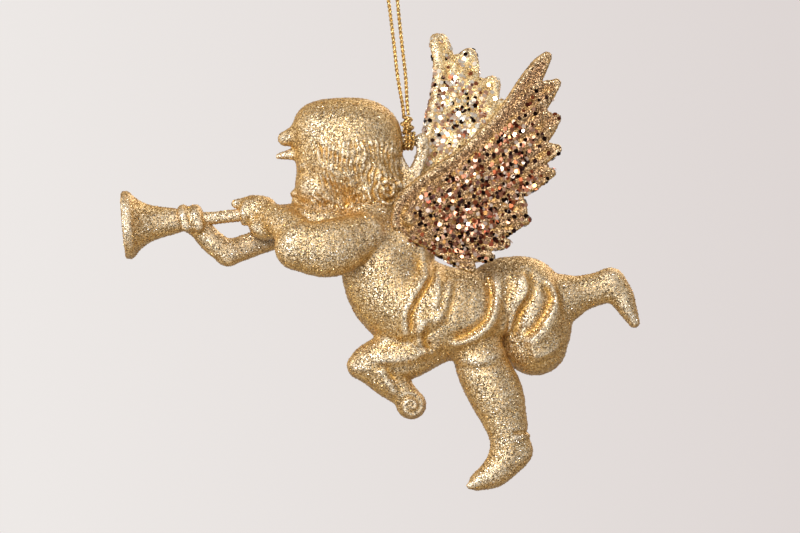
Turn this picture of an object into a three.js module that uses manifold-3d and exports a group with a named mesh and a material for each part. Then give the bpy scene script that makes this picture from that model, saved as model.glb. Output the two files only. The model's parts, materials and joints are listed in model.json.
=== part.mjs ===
// Hanging angel ornament that blows a trumpet: glued resin castings on a loop of metallic cord.
// Millimetres, +Z up. The origin is the underside of the cord loop's top bend, where a hook or twig carries it.
// The angel flies towards -X, with its left side towards -Y (the near side) and its right side towards +Y (the far
// side).
import * as THREE from "three";
import { mergeVertices } from "three/addons/utils/BufferGeometryUtils.js";
import Module from "manifold-3d";

const wasm = await Module();
wasm.setup();

// ---------------------------------------------------------------- driving dimensions
const FIGURE_LENGTH = 130; // trumpet bell to trailing foot
const PLAN_LENGTH = 130; // the length that the body plan's coordinates are drawn for
const HANG_TILT = THREE.MathUtils.degToRad(6.5); // the flying pose leans this far, nose up, so that it balances
const GLUE_GAP = 0.3; // between a casting and the socket that it is glued into
const STANDING_SIDE = -1.6; // how far off the middle the standing leg and the front cloth are
const TRAILING_SIDE = 4.4; // how far off the middle, the other way, the trailing leg is

const LOOP_HEIGHT = 60; // from the hanging eye's bar up to the inside of the loop's top bend
const LOOP_WIDTH = 6; // between the two strands' centres at the top bend
const CORD_DIAMETER = 1;
const STRAND_SPACING = 2; // between the strands' centres along the straight stretch
const KNOT_DIAMETER = 3.2;
const KNOT_HEIGHT = 4.4;
const KNOT_WRAPS = 3; // turns of cord round the bar, side by side
const WRAP_PITCH = 0.9; // between turns, in cord diameters, because the cord squashes
const WRAP_CLEARANCE = 0.3; // between the wraps and the bar that turns in them

const EYE_BAR_DIAMETER = 2.4;
const EYE_HOLE_DEPTH = 5.6; // from the bar's underside to the hole's pointed end
const EYE_LUG_WIDTH = 2;
const EYE_SIDE_PLAY = 0.5; // between the wraps and each lug
const EYE_THICKNESS = 3;
const EYE_FOOT_WIDTH = 7; // where the eye's plate is let into the back

const BELL_DIAMETER = 17;
const BELL_LENGTH = 15.6;
const BELL_HOLLOW_DEPTH = 7.5;
const BELL_WALL = 1;
const TUBE_DIAMETER = 3.2;

const NEAR_WING_THICKNESS = 2.3;
const FAR_WING_THICKNESS = 2.6;
const WING_SPREAD = 0.42; // how far a wing leaves the body sideways for each millimetre along it
const WING_SPIGOT_DIAMETER = 4;
const WING_SPIGOT_LENGTH = 5;

// ---------------------------------------------------------------- tessellation
const LIMB_SIDES = 10;
const RINGS_PER_SPAN = 2;
const CAP_RINGS = 2;
const BALL_SEGMENTS = 12;
const BALL_RINGS = 8;
const LATHE_SEGMENTS = 18;
const CORD_SIDES = 8;
const CORD_STEPS = 60;
const WRAP_SEGMENTS = 12;

// ---------------------------------------------------------------- solids
const planScale = FIGURE_LENGTH / PLAN_LENGTH;
const sideways = new THREE.Vector3(0, 1, 0);

/** A place in the body plan, which is measured from the middle of the hanging eye's bar. */
function plan(x, y, z) {
  return new THREE.Vector3(x, y, z).multiplyScalar(planScale);
}

function toSolid(geometry) {
  const bare = geometry.index ? geometry.toNonIndexed() : geometry.clone();
  bare.deleteAttribute("normal");
  bare.deleteAttribute("uv");
  const merged = mergeVertices(bare, 1e-4);
  const solid = new wasm.Manifold(
    new wasm.Mesh({
      numProp: 3,
      vertProperties: new Float32Array(merged.attributes.position.array),
      triVerts: new Uint32Array(merged.index.array),
    }),
  );
  return solid;
}

function toGeometry(solid) {
  const { vertProperties, triVerts } = solid.getMesh();
  const geometry = new THREE.BufferGeometry();
  geometry.setAttribute("position", new THREE.BufferAttribute(vertProperties, 3));
  geometry.setIndex(new THREE.BufferAttribute(triVerts, 1));
  geometry.computeVertexNormals();
  return geometry;
}

function join(first, ...others) {
  return others.reduce((whole, piece) => whole.add(piece), first);
}

function cut(first, ...others) {
  return others.reduce((whole, piece) => whole.subtract(piece), first);
}

/** The largest body of a solid: a socket can leave a loose flake of wall, which no casting would keep. */
function largest(solid) {
  return solid.decompose().reduce((best, body) => (body.volume() > best.volume() ? body : best));
}

/** An egg-shaped solid, each radius made larger by grow. */
function ball([x, y, z], [rx, ry, rz], grow = 0) {
  const geometry = new THREE.SphereGeometry(1, BALL_SEGMENTS, BALL_RINGS);
  geometry.scale(rx * planScale + grow, ry * planScale + grow, rz * planScale + grow);
  geometry.translate(...plan(x, y, z).toArray());
  return toSolid(geometry);
}

/**
 * A rounded limb through stations [x, y, z, half height, half width], in plan units.
 * Each ring lies square to the limb: its width runs sideways, and its height across that.
 */
function limb(stations, grow = 0) {
  const line = new THREE.CatmullRomCurve3(stations.map(([x, y, z]) => plan(x, y, z)));
  const sizes = new THREE.CatmullRomCurve3(
    stations.map(([, , , height, width = height]) => plan(height, width, 0)),
  );
  const spans = (stations.length - 1) * RINGS_PER_SPAN;
  const rings = [];
  const addRing = (share, slide, shrink) => {
    const along = line.getTangent(share);
    const side = sideways.clone().addScaledVector(along, -along.y).normalize();
    const rise = new THREE.Vector3().crossVectors(along, side);
    const size = sizes.getPoint(share).addScalar(grow);
    const middle = line.getPoint(share).addScaledVector(along, slide * size.x);
    side.multiplyScalar(size.y * shrink);
    rise.multiplyScalar(size.x * shrink);
    rings.push({ middle, side, rise });
  };
  for (let i = 1; i <= CAP_RINGS; i += 1) {
    const turn = (Math.PI / 2) * (1 - i / (CAP_RINGS + 1));
    addRing(0, -Math.sin(turn), Math.cos(turn));
  }
  for (let i = 0; i <= spans; i += 1) addRing(i / spans, 0, 1);
  for (let i = CAP_RINGS; i >= 1; i -= 1) {
    const turn = (Math.PI / 2) * (1 - i / (CAP_RINGS + 1));
    addRing(1, Math.sin(turn), Math.cos(turn));
  }
  const positions = [];
  rings.forEach(({ middle, side, rise }) => {
    for (let k = 0; k < LIMB_SIDES; k += 1) {
      const angle = (2 * Math.PI * k) / LIMB_SIDES;
      const point = middle.clone();
      point.addScaledVector(side, Math.sin(angle)).addScaledVector(rise, Math.cos(angle));
      positions.push(...point.toArray());
    }
  });
  const startPole = rings.length * LIMB_SIDES;
  for (const [share, way] of [[0, -1], [1, 1]]) {
    const reach = way * (sizes.getPoint(share).x + grow);
    positions.push(...line.getPoint(share).addScaledVector(line.getTangent(share), reach).toArray());
  }
  const faces = [];
  for (let k = 0; k < LIMB_SIDES; k += 1) {
    const next = (k + 1) % LIMB_SIDES;
    faces.push(startPole, k, next);
    for (let ring = 0; ring < rings.length - 1; ring += 1) {
      const here = ring * LIMB_SIDES;
      const there = here + LIMB_SIDES;
      faces.push(here + k, there + next, here + next, here + k, there + k, there + next);
    }
    const last = (rings.length - 1) * LIMB_SIDES;
    faces.push(startPole + 1, last + next, last + k);
  }
  const geometry = new THREE.BufferGeometry();
  geometry.setAttribute("position", new THREE.Float32BufferAttribute(positions, 3));
  geometry.setIndex(faces);
  const solid = toSolid(geometry);
  return solid;
}

// ---------------------------------------------------------------- trumpet
const bellMouth = plan(-71.5, 0, -21.1);
const bellAxis = new THREE.Vector3(1, 0, 0.085).normalize(); // from the mouth towards the player
const throat = bellMouth.clone().addScaledVector(bellAxis, BELL_LENGTH - 2).divideScalar(planScale);
const tubeStations = [
  throat.toArray(),
  [-50, 0, -19.4],
  [-43, 0, -18.6],
  [-36, 0, -17.3],
  [-28.6, 0, -15.2],
];

/** The flared bell: outline points are [distance from the mouth, radius] as shares of its length and radius. */
function bell(grow = 0) {
  const radius = BELL_DIAMETER / 2;
  const throat = TUBE_DIAMETER / 2;
  const flare = (share) => throat + (radius - throat) * share;
  const outside = [
    [BELL_LENGTH, throat + 0.25],
    [BELL_LENGTH * 0.72, flare(0.22)],
    [BELL_LENGTH * 0.5, flare(0.36)],
    [BELL_LENGTH * 0.32, flare(0.55)],
    [BELL_LENGTH * 0.19, flare(0.8)],
    [BELL_LENGTH * 0.12, flare(0.99)],
    [0.4, flare(1)],
  ].map(([along, r]) => new THREE.Vector2(r + grow, along + (along === BELL_LENGTH ? grow : 0)));
  const inside = [
    [0, 1],
    [0.25, 0.7],
    [0.55, 0.5],
    [0.85, 0.38],
  ].map(([depth, share]) => new THREE.Vector2((radius - BELL_WALL) * share, BELL_HOLLOW_DEPTH * depth));
  const start = new THREE.Vector2(0, BELL_LENGTH + grow);
  const end = new THREE.Vector2(0, BELL_HOLLOW_DEPTH);
  const solidEnd = [new THREE.Vector2(radius + grow, -grow), new THREE.Vector2(0, -grow)];
  const profile = grow > 0 ? [start, ...outside, ...solidEnd] : [start, ...outside, ...inside, end];
  const geometry = new THREE.LatheGeometry(profile.reverse(), LATHE_SEGMENTS);
  geometry.applyQuaternion(new THREE.Quaternion().setFromUnitVectors(new THREE.Vector3(0, 1, 0), bellAxis));
  geometry.translate(...bellMouth.toArray());
  return toSolid(geometry);
}

function trumpetShape(grow = 0) {
  const radius = TUBE_DIAMETER / 2 / planScale;
  const tube = limb(tubeStations.map((place) => [...place, radius]), grow);
  return join(bell(grow), tube);
}

// ---------------------------------------------------------------- castings of the body
function headShape(grow = 0) {
  return join(
    ball([-15.5, 0, -3.4], [13.2, 11.4, 13.6], grow), // skull under the hair
    ball([-21.2, 0, 3.2], [7.1, 9, 7], grow), // hair over the brow
    ball([-11, 0, 1.4], [9.2, 9.8, 8.9], grow), // crown
    ball([-9.4, 0, -10.4], [8, 9, 8.8], grow), // hair down the nape
    ball([-20.7, 0, -11.2], [7.8, 7.6, 7.3], grow), // jaw
    ball([-23.6, -4.2, -12], [4, 3.6, 3.9], grow), // puffed cheeks
    ball([-23.6, 4.2, -12], [4, 3.6, 3.9], grow),
    limb([[-26, 0, 1.6, 3, 4], [-28.6, 0, 1.2, 2.4, 3], [-30.9, 0, 0.6, 1.9, 2]], grow), // forelock
    limb([[-26, 0, -3.2, 2.2], [-29, 0, -3.3, 1.5], [-32.8, 0, -3.8, 0.7]], grow), // nose
    ball([-28.2, 0, -13.4], [1.7, 2.4, 1.8], grow), // lips
    neckShape(grow),
  );
}

function neckShape(grow = 0) {
  return limb([[-14, 0, -14, 5, 5.4], [-12, 0, -18.5, 4.8, 5.2], [-10.4, 0, -22.5, 4, 4.4]], grow);
}

function torsoShape() {
  const trunk = [
    [-9.2, 0, -20.2, 7.2, 9.4],
    [-7, 0, -28, 10.4, 10.8],
    [-3.4, 0, -37.4, 11.7, 11.2],
    [5, 0, -42.6, 12.2, 11.6],
    [14, 0, -43.2, 11, 10.4],
  ];
  return join(limb(trunk), ball([-1, 0, -25.4], [8, 9.4, 8.2])); // with the shoulder blades
}

function nearArmShape(grow = 0) {
  const upperArm = [
    [-10.6, -8.2, -23.4, 5.4, 4.6],
    [-19.4, -11.4, -26.8, 7.2, 5.6],
    [-27.6, -12.2, -26.6, 5.8, 5],
  ];
  const forearm = [
    [-27.4, -11.4, -24.6, 5.2, 4.6],
    [-31, -7.8, -20.9, 4.2, 3.8],
    [-35.4, -2.8, -18.2, 3, 2.8],
  ];
  return join(limb(upperArm, grow), limb(forearm, grow));
}

/** The near hand closes round the trumpet's tube, with its thumb laid along the top. */
function nearHandShape(grow = 0) {
  return join(
    ball([-38, -0.6, -17.2], [5, 3.8, 3.7], grow),
    limb([[-39.5, -0.4, -15.2, 1.4], [-41.8, -0.2, -15.6, 1.3], [-43.4, 0, -15.7, 1.1]], grow),
  );
}

function nearArmWithHand(grow = 0) {
  return join(nearArmShape(grow), nearHandShape(grow));
}

function farArmShape(grow = 0) {
  const upperArm = [
    [-12, 7.4, -22.4, 5, 4.4],
    [-22, 7.6, -24.2, 4.4, 4.2],
    [-32, 5.4, -25.2, 3.3, 3.2],
    [-44.4, 1.8, -28, 3.2, 3],
  ];
  const forearm = [
    [-44.8, 1.6, -28, 3.1, 2.9],
    [-49.9, 0.8, -25.2, 3, 2.8],
    [-53.2, 0.2, -21, 2.6, 2.8],
  ];
  return join(limb(upperArm, grow), limb(forearm, grow));
}

function farArmWithHand(grow = 0) {
  const hand = ball([-54.7, 0, -19.3], [3.4, 3.7, 3.6], grow);
  return join(farArmShape(grow), hand);
}

function standingLegShape(grow = 0) {
  const leg = [
    [16, STANDING_SIDE, -47, 6, 5.8],
    [18.2, STANDING_SIDE, -56, 6.6, 6.4],
    [21.8, STANDING_SIDE, -63.4, 6.8, 6.4],
    [24.2, STANDING_SIDE, -70.4, 5.1, 5],
  ];
  return limb(leg, grow);
}

function footShape(grow = 0) {
  const ankle = [
    [25.1, STANDING_SIDE, -74.2, 4.7, 4.5],
    [25, STANDING_SIDE, -77.8, 4.8, 4.3],
  ];
  const instep = [
    [25, STANDING_SIDE, -78.8, 4.6, 4.3],
    [21.4, STANDING_SIDE, -82.9, 3.7, 4.2],
    [17, STANDING_SIDE, -85.3, 2.2, 3.2],
  ];
  const heel = ball([27.4, STANDING_SIDE, -77.4], [3.6, 3.5, 3.7], grow);
  const pegIntoTheLeg = [
    [24.6, STANDING_SIDE, -73, 2.2],
    [23.4, STANDING_SIDE, -66.6, 2.2],
  ];
  return join(limb(ankle, grow), limb(instep, grow), limb(pegIntoTheLeg, grow), heel);
}

function trailingLegShape(grow = 0) {
  const leg = [
    [29, TRAILING_SIDE, -43, 6.6, 6.2],
    [36.6, TRAILING_SIDE, -40.2, 6.6, 6],
    [43, TRAILING_SIDE, -38.2, 4.5, 4.4],
    [50.2, TRAILING_SIDE, -36.2, 4, 3.8],
  ];
  const foot = [
    [50.4, TRAILING_SIDE, -35.6, 3.6, 3.5],
    [52.8, TRAILING_SIDE, -39.4, 3.9, 3.9],
    [55, TRAILING_SIDE, -43.4, 2.8, 3.6],
    [56.8, TRAILING_SIDE, -46, 1.6, 2.6],
  ];
  return join(limb(leg, grow), limb(foot, grow));
}

/** The cloth's front end, swept forward under the belly and rolled up at its tip. */
function frontDrapeShape(grow = 0) {
  const sweep = [
    [6, STANDING_SIDE, -50.6, 5.6, 6],
    [-2, STANDING_SIDE, -53.4, 6.7, 6.4],
    [-9, STANDING_SIDE, -55.2, 5, 5.6],
    [-12.2, STANDING_SIDE, -56.2, 3.3, 4.4],
  ];
  const rolledEnd = [
    [-11, STANDING_SIDE, -56.6, 3.2, 4.4],
    [-5.6, STANDING_SIDE, -59.6, 4.2, 4.6],
    [-1.4, STANDING_SIDE, -63.6, 3.8, 3.8],
    [0.5, STANDING_SIDE, -65.8, 3.8, 3.7],
  ];
  return join(limb(sweep, grow), limb(rolledEnd, grow));
}

/** The cloth's back end, bunched round the trailing thigh. */
function rearDrapeShape(grow = 0) {
  const overTheHip = [
    [18.6, 1.6, -38.4, 6.4, 7.8],
    [24.6, 2.8, -37.4, 8.4, 8.6],
    [29.4, 3.6, -39, 8.8, 9],
  ];
  const downTheThigh = [
    [28.8, 3.6, -38.2, 9.2, 9.2],
    [31.2, 4, -44.6, 9.6, 9.4],
    [31.6, 4, -50.4, 8.3, 8.6],
  ];
  return join(limb(overTheHip, grow), limb(downTheThigh, grow));
}

// ---------------------------------------------------------------- wings
/** A wing's outline: the front edge from the root up, then each feather's [tip x, tip z, notch x, notch z]. */
const nearWing = {
  thickness: NEAR_WING_THICKNESS,
  frontEdge: [
    [-3, -21.5],
    [-2.4, -15.8],
    [2.6, -10.6],
    [9, -6.2],
    [16.4, -0.4],
    [23, 6.6],
    [27.5, 13.4],
    [31.4, 18.6],
  ],
  feathers: [
    [34.4, 21.3, 33.4, 14.6],
    [37, 14.6, 34.8, 7.8],
    [37.2, 5.9, 35.2, -0.4],
    [37.5, -1.9, 34.9, -5.6],
    [36.1, -7.8, 29.4, -13.8],
    [29.9, -20.6, 25.6, -23.8],
    [25.2, -25.6, 21.6, -27.6],
    [21.2, -29.4, 17.6, -30.3],
    [16.4, -32.6, 12.5, -31.6],
  ],
  bottomEdge: [[5, -27.4], [-1, -24.4]],
  root: [-1, -19.6],
  side: -1,
  rootDistance: 7.4,
  spreadAlong: new THREE.Vector3(1, 0, 0.25),
};

const farWing = {
  thickness: FAR_WING_THICKNESS,
  frontEdge: [[-1.4, -19], [0.6, -9.6], [4, -2.6], [5.8, 6.6], [7.4, 13.6], [7.6, 20], [6.6, 25]],
  feathers: [
    [7.2, 27.6, 11.8, 23.4],
    [15.6, 24, 18.4, 17.6],
    [22.2, 16.6, 23.3, 11.6],
    [24.6, 10.6, 22.6, 5],
    [23.6, 1.6, 19, -5],
    [18.4, -10, 12, -14],
  ],
  bottomEdge: [[8, -18.6], [3, -22]],
  root: [0.6, -17.6],
  side: 1,
  rootDistance: 4.6,
  spreadAlong: new THREE.Vector3(0.25, 0, 1),
};

function wingOutline({ frontEdge, feathers, bottomEdge }) {
  const place = ([x, z]) => new THREE.Vector2(x, z).multiplyScalar(planScale);
  const shape = new THREE.Shape();
  shape.moveTo(...place(frontEdge[0]).toArray());
  shape.splineThru(frontEdge.slice(1).map(place));
  let from = place(frontEdge.at(-1));
  for (const [tipX, tipZ, notchX, notchZ] of feathers) {
    const tip = place([tipX, tipZ]);
    const notch = place([notchX, notchZ]);
    const swell = from.clone().lerp(tip, 0.75).add(tip.clone().sub(notch).multiplyScalar(0.12));
    shape.quadraticCurveTo(swell.x, swell.y, tip.x, tip.y);
    shape.lineTo(notch.x, notch.y);
    from = notch;
  }
  shape.splineThru(bottomEdge.map(place));
  shape.closePath();
  return shape;
}

/** How far sideways a wing's middle lies at a place in its outline. */
function wingOffset(wing, x, z) {
  const [rootX, rootZ] = wing.root;
  const along = (x - rootX) * wing.spreadAlong.x + (z - rootZ) * wing.spreadAlong.z;
  return wing.side * (wing.rootDistance + WING_SPREAD * along);
}

function wingShape(wing, grow = 0) {
  const depth = wing.thickness + 2 * grow;
  const geometry = new THREE.ExtrudeGeometry(wingOutline(wing), {
    depth,
    steps: 1,
    curveSegments: 3,
    bevelEnabled: grow > 0,
    bevelSize: grow,
    bevelThickness: 0.01,
    bevelSegments: 1,
  });
  geometry.rotateX(Math.PI / 2); // the outline's height becomes Z, and its depth runs to -Y
  geometry.translate(0, depth / 2, 0);
  const position = geometry.attributes.position;
  for (let i = 0; i < position.count; i += 1) {
    const offset = wingOffset(wing, position.getX(i) / planScale, position.getZ(i) / planScale);
    position.setY(i, position.getY(i) + offset * planScale);
  }
  return toSolid(geometry);
}

/** The round spigot that a wing is glued into the back by. */
function wingSpigot(wing, grow = 0) {
  const [x, z] = wing.root;
  const geometry = new THREE.CylinderGeometry(
    WING_SPIGOT_DIAMETER / 2 + grow,
    WING_SPIGOT_DIAMETER / 2 + grow,
    WING_SPIGOT_LENGTH + 2 * grow,
    LIMB_SIDES,
  );
  const middle = wingOffset(wing, x, z) * planScale - (wing.side * WING_SPIGOT_LENGTH) / 2;
  geometry.translate(x * planScale, middle, z * planScale);
  return toSolid(geometry);
}

function wingWithSpigot(wing, grow = 0) {
  return join(wingShape(wing, grow), wingSpigot(wing, grow));
}

// ---------------------------------------------------------------- hanging eye, knot and cord
const eyeBarRadius = EYE_BAR_DIAMETER / 2;
const wrapsWidth = CORD_DIAMETER * (1 + WRAP_PITCH * (KNOT_WRAPS - 1));
const eyeHalfHole = wrapsWidth / 2 + EYE_SIDE_PLAY;
const eyeFoot = plan(-2.4, 0, -21);

/** A plate let into the back, with a teardrop hole under its round bar. */
function hangingEyeShape(grow = 0) {
  const lug = eyeHalfHole + EYE_LUG_WIDTH;
  const holeTip = -eyeBarRadius - EYE_HOLE_DEPTH;
  const footSide = EYE_FOOT_WIDTH / 2;
  const outline = new THREE.Shape();
  outline.moveTo(-lug, 0);
  outline.quadraticCurveTo(-lug, eyeBarRadius, -eyeHalfHole, eyeBarRadius);
  outline.lineTo(-eyeHalfHole, -eyeBarRadius);
  outline.quadraticCurveTo(-eyeHalfHole, holeTip * 0.6, 0, holeTip);
  outline.quadraticCurveTo(eyeHalfHole, holeTip * 0.6, eyeHalfHole, -eyeBarRadius);
  outline.lineTo(eyeHalfHole, eyeBarRadius * 1.6);
  outline.quadraticCurveTo(lug, eyeBarRadius * 1.4, lug + 0.6, -eyeBarRadius);
  outline.quadraticCurveTo(lug, holeTip, eyeFoot.x + footSide, eyeFoot.z);
  outline.lineTo(eyeFoot.x - footSide, eyeFoot.z);
  outline.quadraticCurveTo(-lug, holeTip, -lug, 0);
  const depth = EYE_THICKNESS + 2 * grow;
  const bevel = { bevelEnabled: grow > 0, bevelSize: grow, bevelThickness: 0.01, bevelSegments: 1 };
  const plate = new THREE.ExtrudeGeometry(outline, { depth, steps: 1, curveSegments: 4, ...bevel });
  plate.rotateX(Math.PI / 2);
  plate.translate(0, depth / 2, 0);
  const barLength = 2 * eyeHalfHole + EYE_LUG_WIDTH; // half a lug's width is in each lug
  const bar = new THREE.CylinderGeometry(eyeBarRadius, eyeBarRadius, barLength, BALL_SEGMENTS);
  bar.rotateZ(Math.PI / 2);
  return join(toSolid(plate), toSolid(bar));
}

const wrapRadius = eyeBarRadius + WRAP_CLEARANCE + CORD_DIAMETER / 2; // to a wrap's centreline
const knotMiddle = wrapRadius + KNOT_HEIGHT / 2 - CORD_DIAMETER * 0.2;
const knotTop = knotMiddle + KNOT_HEIGHT / 2;

/** Turns of cord round the bar, square to it, and the upright knot that locks them. */
function cordKnot() {
  const turns = [];
  for (let i = 0; i < KNOT_WRAPS; i += 1) {
    const turn = new THREE.TorusGeometry(wrapRadius, CORD_DIAMETER / 2, CORD_SIDES, WRAP_SEGMENTS);
    turn.rotateY(Math.PI / 2);
    turn.translate((i - (KNOT_WRAPS - 1) / 2) * CORD_DIAMETER * WRAP_PITCH, 0, 0);
    turn.rotateY(HANG_TILT);
    turns.push(toSolid(turn));
  }
  const knot = new THREE.SphereGeometry(KNOT_DIAMETER / 2, BALL_SEGMENTS, BALL_RINGS);
  knot.rotateX(Math.PI / 2);
  knot.scale(1, 0.85, KNOT_HEIGHT / KNOT_DIAMETER);
  knot.translate(0, 0, knotMiddle);
  return join(toSolid(knot), ...turns);
}

/** The cord's centreline: up one strand, over the top bend and down the other. */
function cordRoute() {
  const start = knotTop + GLUE_GAP;
  const top = LOOP_HEIGHT + CORD_DIAMETER / 2;
  const bend = LOOP_WIDTH / 2;
  const strand = [
    [CORD_DIAMETER * 0.56, start],
    [CORD_DIAMETER * 0.6, start + 3],
    [STRAND_SPACING / 2, start + 10],
    [STRAND_SPACING / 2, LOOP_HEIGHT * 0.42],
    [STRAND_SPACING * 0.58, LOOP_HEIGHT * 0.6],
    [bend * 0.66, LOOP_HEIGHT * 0.78],
    [bend * 0.96, LOOP_HEIGHT - bend * 1.6],
    [bend * 0.98, LOOP_HEIGHT - bend * 0.72],
    [bend * 0.66, top - bend * 0.26],
  ];
  const up = strand.map(([x, z]) => new THREE.Vector3(-x, 0, z));
  const down = strand.map(([x, z]) => new THREE.Vector3(x, 0, z)).reverse();
  return new THREE.CatmullRomCurve3([...up, new THREE.Vector3(0, 0, top), ...down]);
}

function cordTube() {
  const section = new THREE.Shape();
  for (let i = 0; i < CORD_SIDES; i += 1) {
    const angle = (2 * Math.PI * i) / CORD_SIDES;
    const [u, v] = [Math.cos(angle), Math.sin(angle)].map((share) => (share * CORD_DIAMETER) / 2);
    if (i === 0) section.moveTo(u, v);
    else section.lineTo(u, v);
  }
  section.closePath();
  const along = { steps: CORD_STEPS, extrudePath: cordRoute(), bevelEnabled: false };
  return new THREE.ExtrudeGeometry(section, along);
}

// ---------------------------------------------------------------- assembly
const goldGlitter = new THREE.MeshStandardMaterial({ color: 0xc8a468, roughness: 0.45, metalness: 0.8 });
const roseGlitter = new THREE.MeshStandardMaterial({ color: 0xb98363, roughness: 0.35, metalness: 0.85 });
const metallicCord = new THREE.MeshStandardMaterial({ color: 0xc79b45, roughness: 0.4, metalness: 0.75 });

/** The room that each casting needs in its neighbours: its own shape with the glue gap all round. */
const room = {
  trumpet: trumpetShape(GLUE_GAP),
  nearArm: nearArmWithHand(GLUE_GAP),
  farArm: farArmWithHand(GLUE_GAP),
  head: headShape(GLUE_GAP),
  eye: hangingEyeShape(GLUE_GAP),
  nearWing: wingWithSpigot(nearWing, GLUE_GAP),
  farWing: wingWithSpigot(farWing, GLUE_GAP),
  foot: footShape(GLUE_GAP),
  standingLeg: standingLegShape(GLUE_GAP),
  trailingLeg: trailingLegShape(GLUE_GAP),
  frontDrape: frontDrapeShape(GLUE_GAP),
  rearDrape: rearDrapeShape(GLUE_GAP),
};

const castings = {
  trumpet: trumpetShape(),
  near_arm: cut(nearArmWithHand(), room.trumpet),
  far_arm: cut(farArmWithHand(), room.trumpet, room.nearArm),
  head: cut(headShape(), room.trumpet, room.nearArm, room.farArm, room.eye),
  hanging_eye: hangingEyeShape(),
  near_wing: cut(wingWithSpigot(nearWing), room.head, room.nearArm, room.eye, room.rearDrape),
  far_wing: cut(wingWithSpigot(farWing), room.head, room.farArm, room.eye, room.nearWing),
  standing_foot: footShape(),
  standing_leg: cut(standingLegShape(), room.foot),
  trailing_leg: trailingLegShape(),
  front_drape: cut(frontDrapeShape(), room.standingLeg),
  rear_drape: cut(rearDrapeShape(), room.standingLeg, room.trailingLeg),
  torso: cut(
    torsoShape(),
    room.head,
    room.nearArm,
    room.farArm,
    room.eye,
    room.nearWing,
    room.farWing,
    room.frontDrape,
    room.rearDrape,
    room.standingLeg,
    room.trailingLeg,
  ),
};

function piece(name, geometry, material) {
  const mesh = new THREE.Mesh(geometry, material);
  mesh.name = name;
  return mesh;
}

const figurine = new THREE.Group();
figurine.rotation.y = HANG_TILT;
for (const [name, solid] of Object.entries(castings)) {
  const finish = name.endsWith("wing") ? roseGlitter : goldGlitter;
  figurine.add(piece(name, toGeometry(largest(solid)), finish));
}

const ornament = new THREE.Group();
const belowTheLoop = new THREE.Group();
belowTheLoop.position.z = -LOOP_HEIGHT;
belowTheLoop.add(figurine);
belowTheLoop.add(piece("cord_knot", toGeometry(cordKnot()), metallicCord));
belowTheLoop.add(piece("hanging_cord", cordTube(), metallicCord));
ornament.add(belowTheLoop);

export default ornament;
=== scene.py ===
"""A hanging glitter angel that blows a trumpet: its finished pieces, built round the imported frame.

The figure is sculpted as distance fields, in millimetres from the middle of the hanging eye's bar. Every
casting is meshed from the same blended field, so that neighbours meet without a step.
"""

import sys

import json
import logging
import math
from dataclasses import dataclass, field
from enum import Enum
from typing import Callable, ClassVar, Sequence

import bpy
import numpy as np
from mathutils import Matrix, Vector


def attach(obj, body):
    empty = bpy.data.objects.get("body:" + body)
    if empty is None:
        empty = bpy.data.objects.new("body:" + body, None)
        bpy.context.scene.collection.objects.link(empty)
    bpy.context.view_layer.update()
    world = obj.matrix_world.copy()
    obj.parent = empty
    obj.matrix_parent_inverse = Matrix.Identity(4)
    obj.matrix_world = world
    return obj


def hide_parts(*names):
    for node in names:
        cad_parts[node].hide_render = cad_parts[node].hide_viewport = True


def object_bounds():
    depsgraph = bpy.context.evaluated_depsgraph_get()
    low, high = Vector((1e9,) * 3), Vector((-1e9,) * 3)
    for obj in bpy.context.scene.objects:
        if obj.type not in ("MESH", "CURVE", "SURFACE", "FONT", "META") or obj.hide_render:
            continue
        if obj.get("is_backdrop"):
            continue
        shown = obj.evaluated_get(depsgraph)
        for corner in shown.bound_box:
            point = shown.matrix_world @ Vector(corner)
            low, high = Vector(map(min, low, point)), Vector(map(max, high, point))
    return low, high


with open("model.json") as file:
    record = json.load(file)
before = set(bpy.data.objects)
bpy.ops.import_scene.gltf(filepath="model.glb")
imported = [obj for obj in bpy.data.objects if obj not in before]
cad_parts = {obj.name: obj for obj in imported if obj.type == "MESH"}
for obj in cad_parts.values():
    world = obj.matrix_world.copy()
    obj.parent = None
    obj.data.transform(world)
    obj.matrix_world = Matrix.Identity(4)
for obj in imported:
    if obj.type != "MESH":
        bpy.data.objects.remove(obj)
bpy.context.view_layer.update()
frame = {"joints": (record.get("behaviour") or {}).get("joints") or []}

MM = 0.001
FAR = 9.0  # millimetres: what a field says where nothing is near
REACH = 4.0  # millimetres: how far from a form its field is still worked out
FINE_STEP = 0.38  # millimetres between the lattice's points
SEAM_OVERLAP = 0.25  # millimetres: how far a casting runs on past its seam, under its neighbour
BLEND_LIMIT = 1.2  # millimetres: how far a fillet may stand off a casting's own surface
OFF_SURFACE = 1e-4  # no sample may lie on the surface itself
STANDING_Y = -1.6  # millimetres: how far to the near side the standing leg and the front drape lie
TRAILING_Y = 4.4  # millimetres: how far to the far side the trailing leg lies
LOG = logging.getLogger("angel")

Array = np.ndarray
Point = tuple[float, float, float]
Flat = tuple[float, float]  # x and z in the side view
Span = tuple[float, float]  # the two ends of a range
Colour = tuple[float, float, float]
Tones = tuple[tuple[float, Colour], ...]
Window = tuple[slice, slice, slice]
Socket = bpy.types.NodeSocket


class Casting(Enum):
    """The resin castings, named as their nodes in the frame."""

    TORSO = "torso"
    HEAD = "head"
    NEAR_ARM = "near_arm"
    FAR_ARM = "far_arm"
    TRUMPET = "trumpet"
    FRONT_DRAPE = "front_drape"
    REAR_DRAPE = "rear_drape"
    STANDING_LEG = "standing_leg"
    STANDING_FOOT = "standing_foot"
    TRAILING_LEG = "trailing_leg"
    HANGING_EYE = "hanging_eye"
    NEAR_WING = "near_wing"
    FAR_WING = "far_wing"


class Slot(Enum):
    """The record's material slots."""

    GOLD = "gold_glitter"
    WING = "flaked_wing"
    CORD = "metallic_cord"


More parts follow.
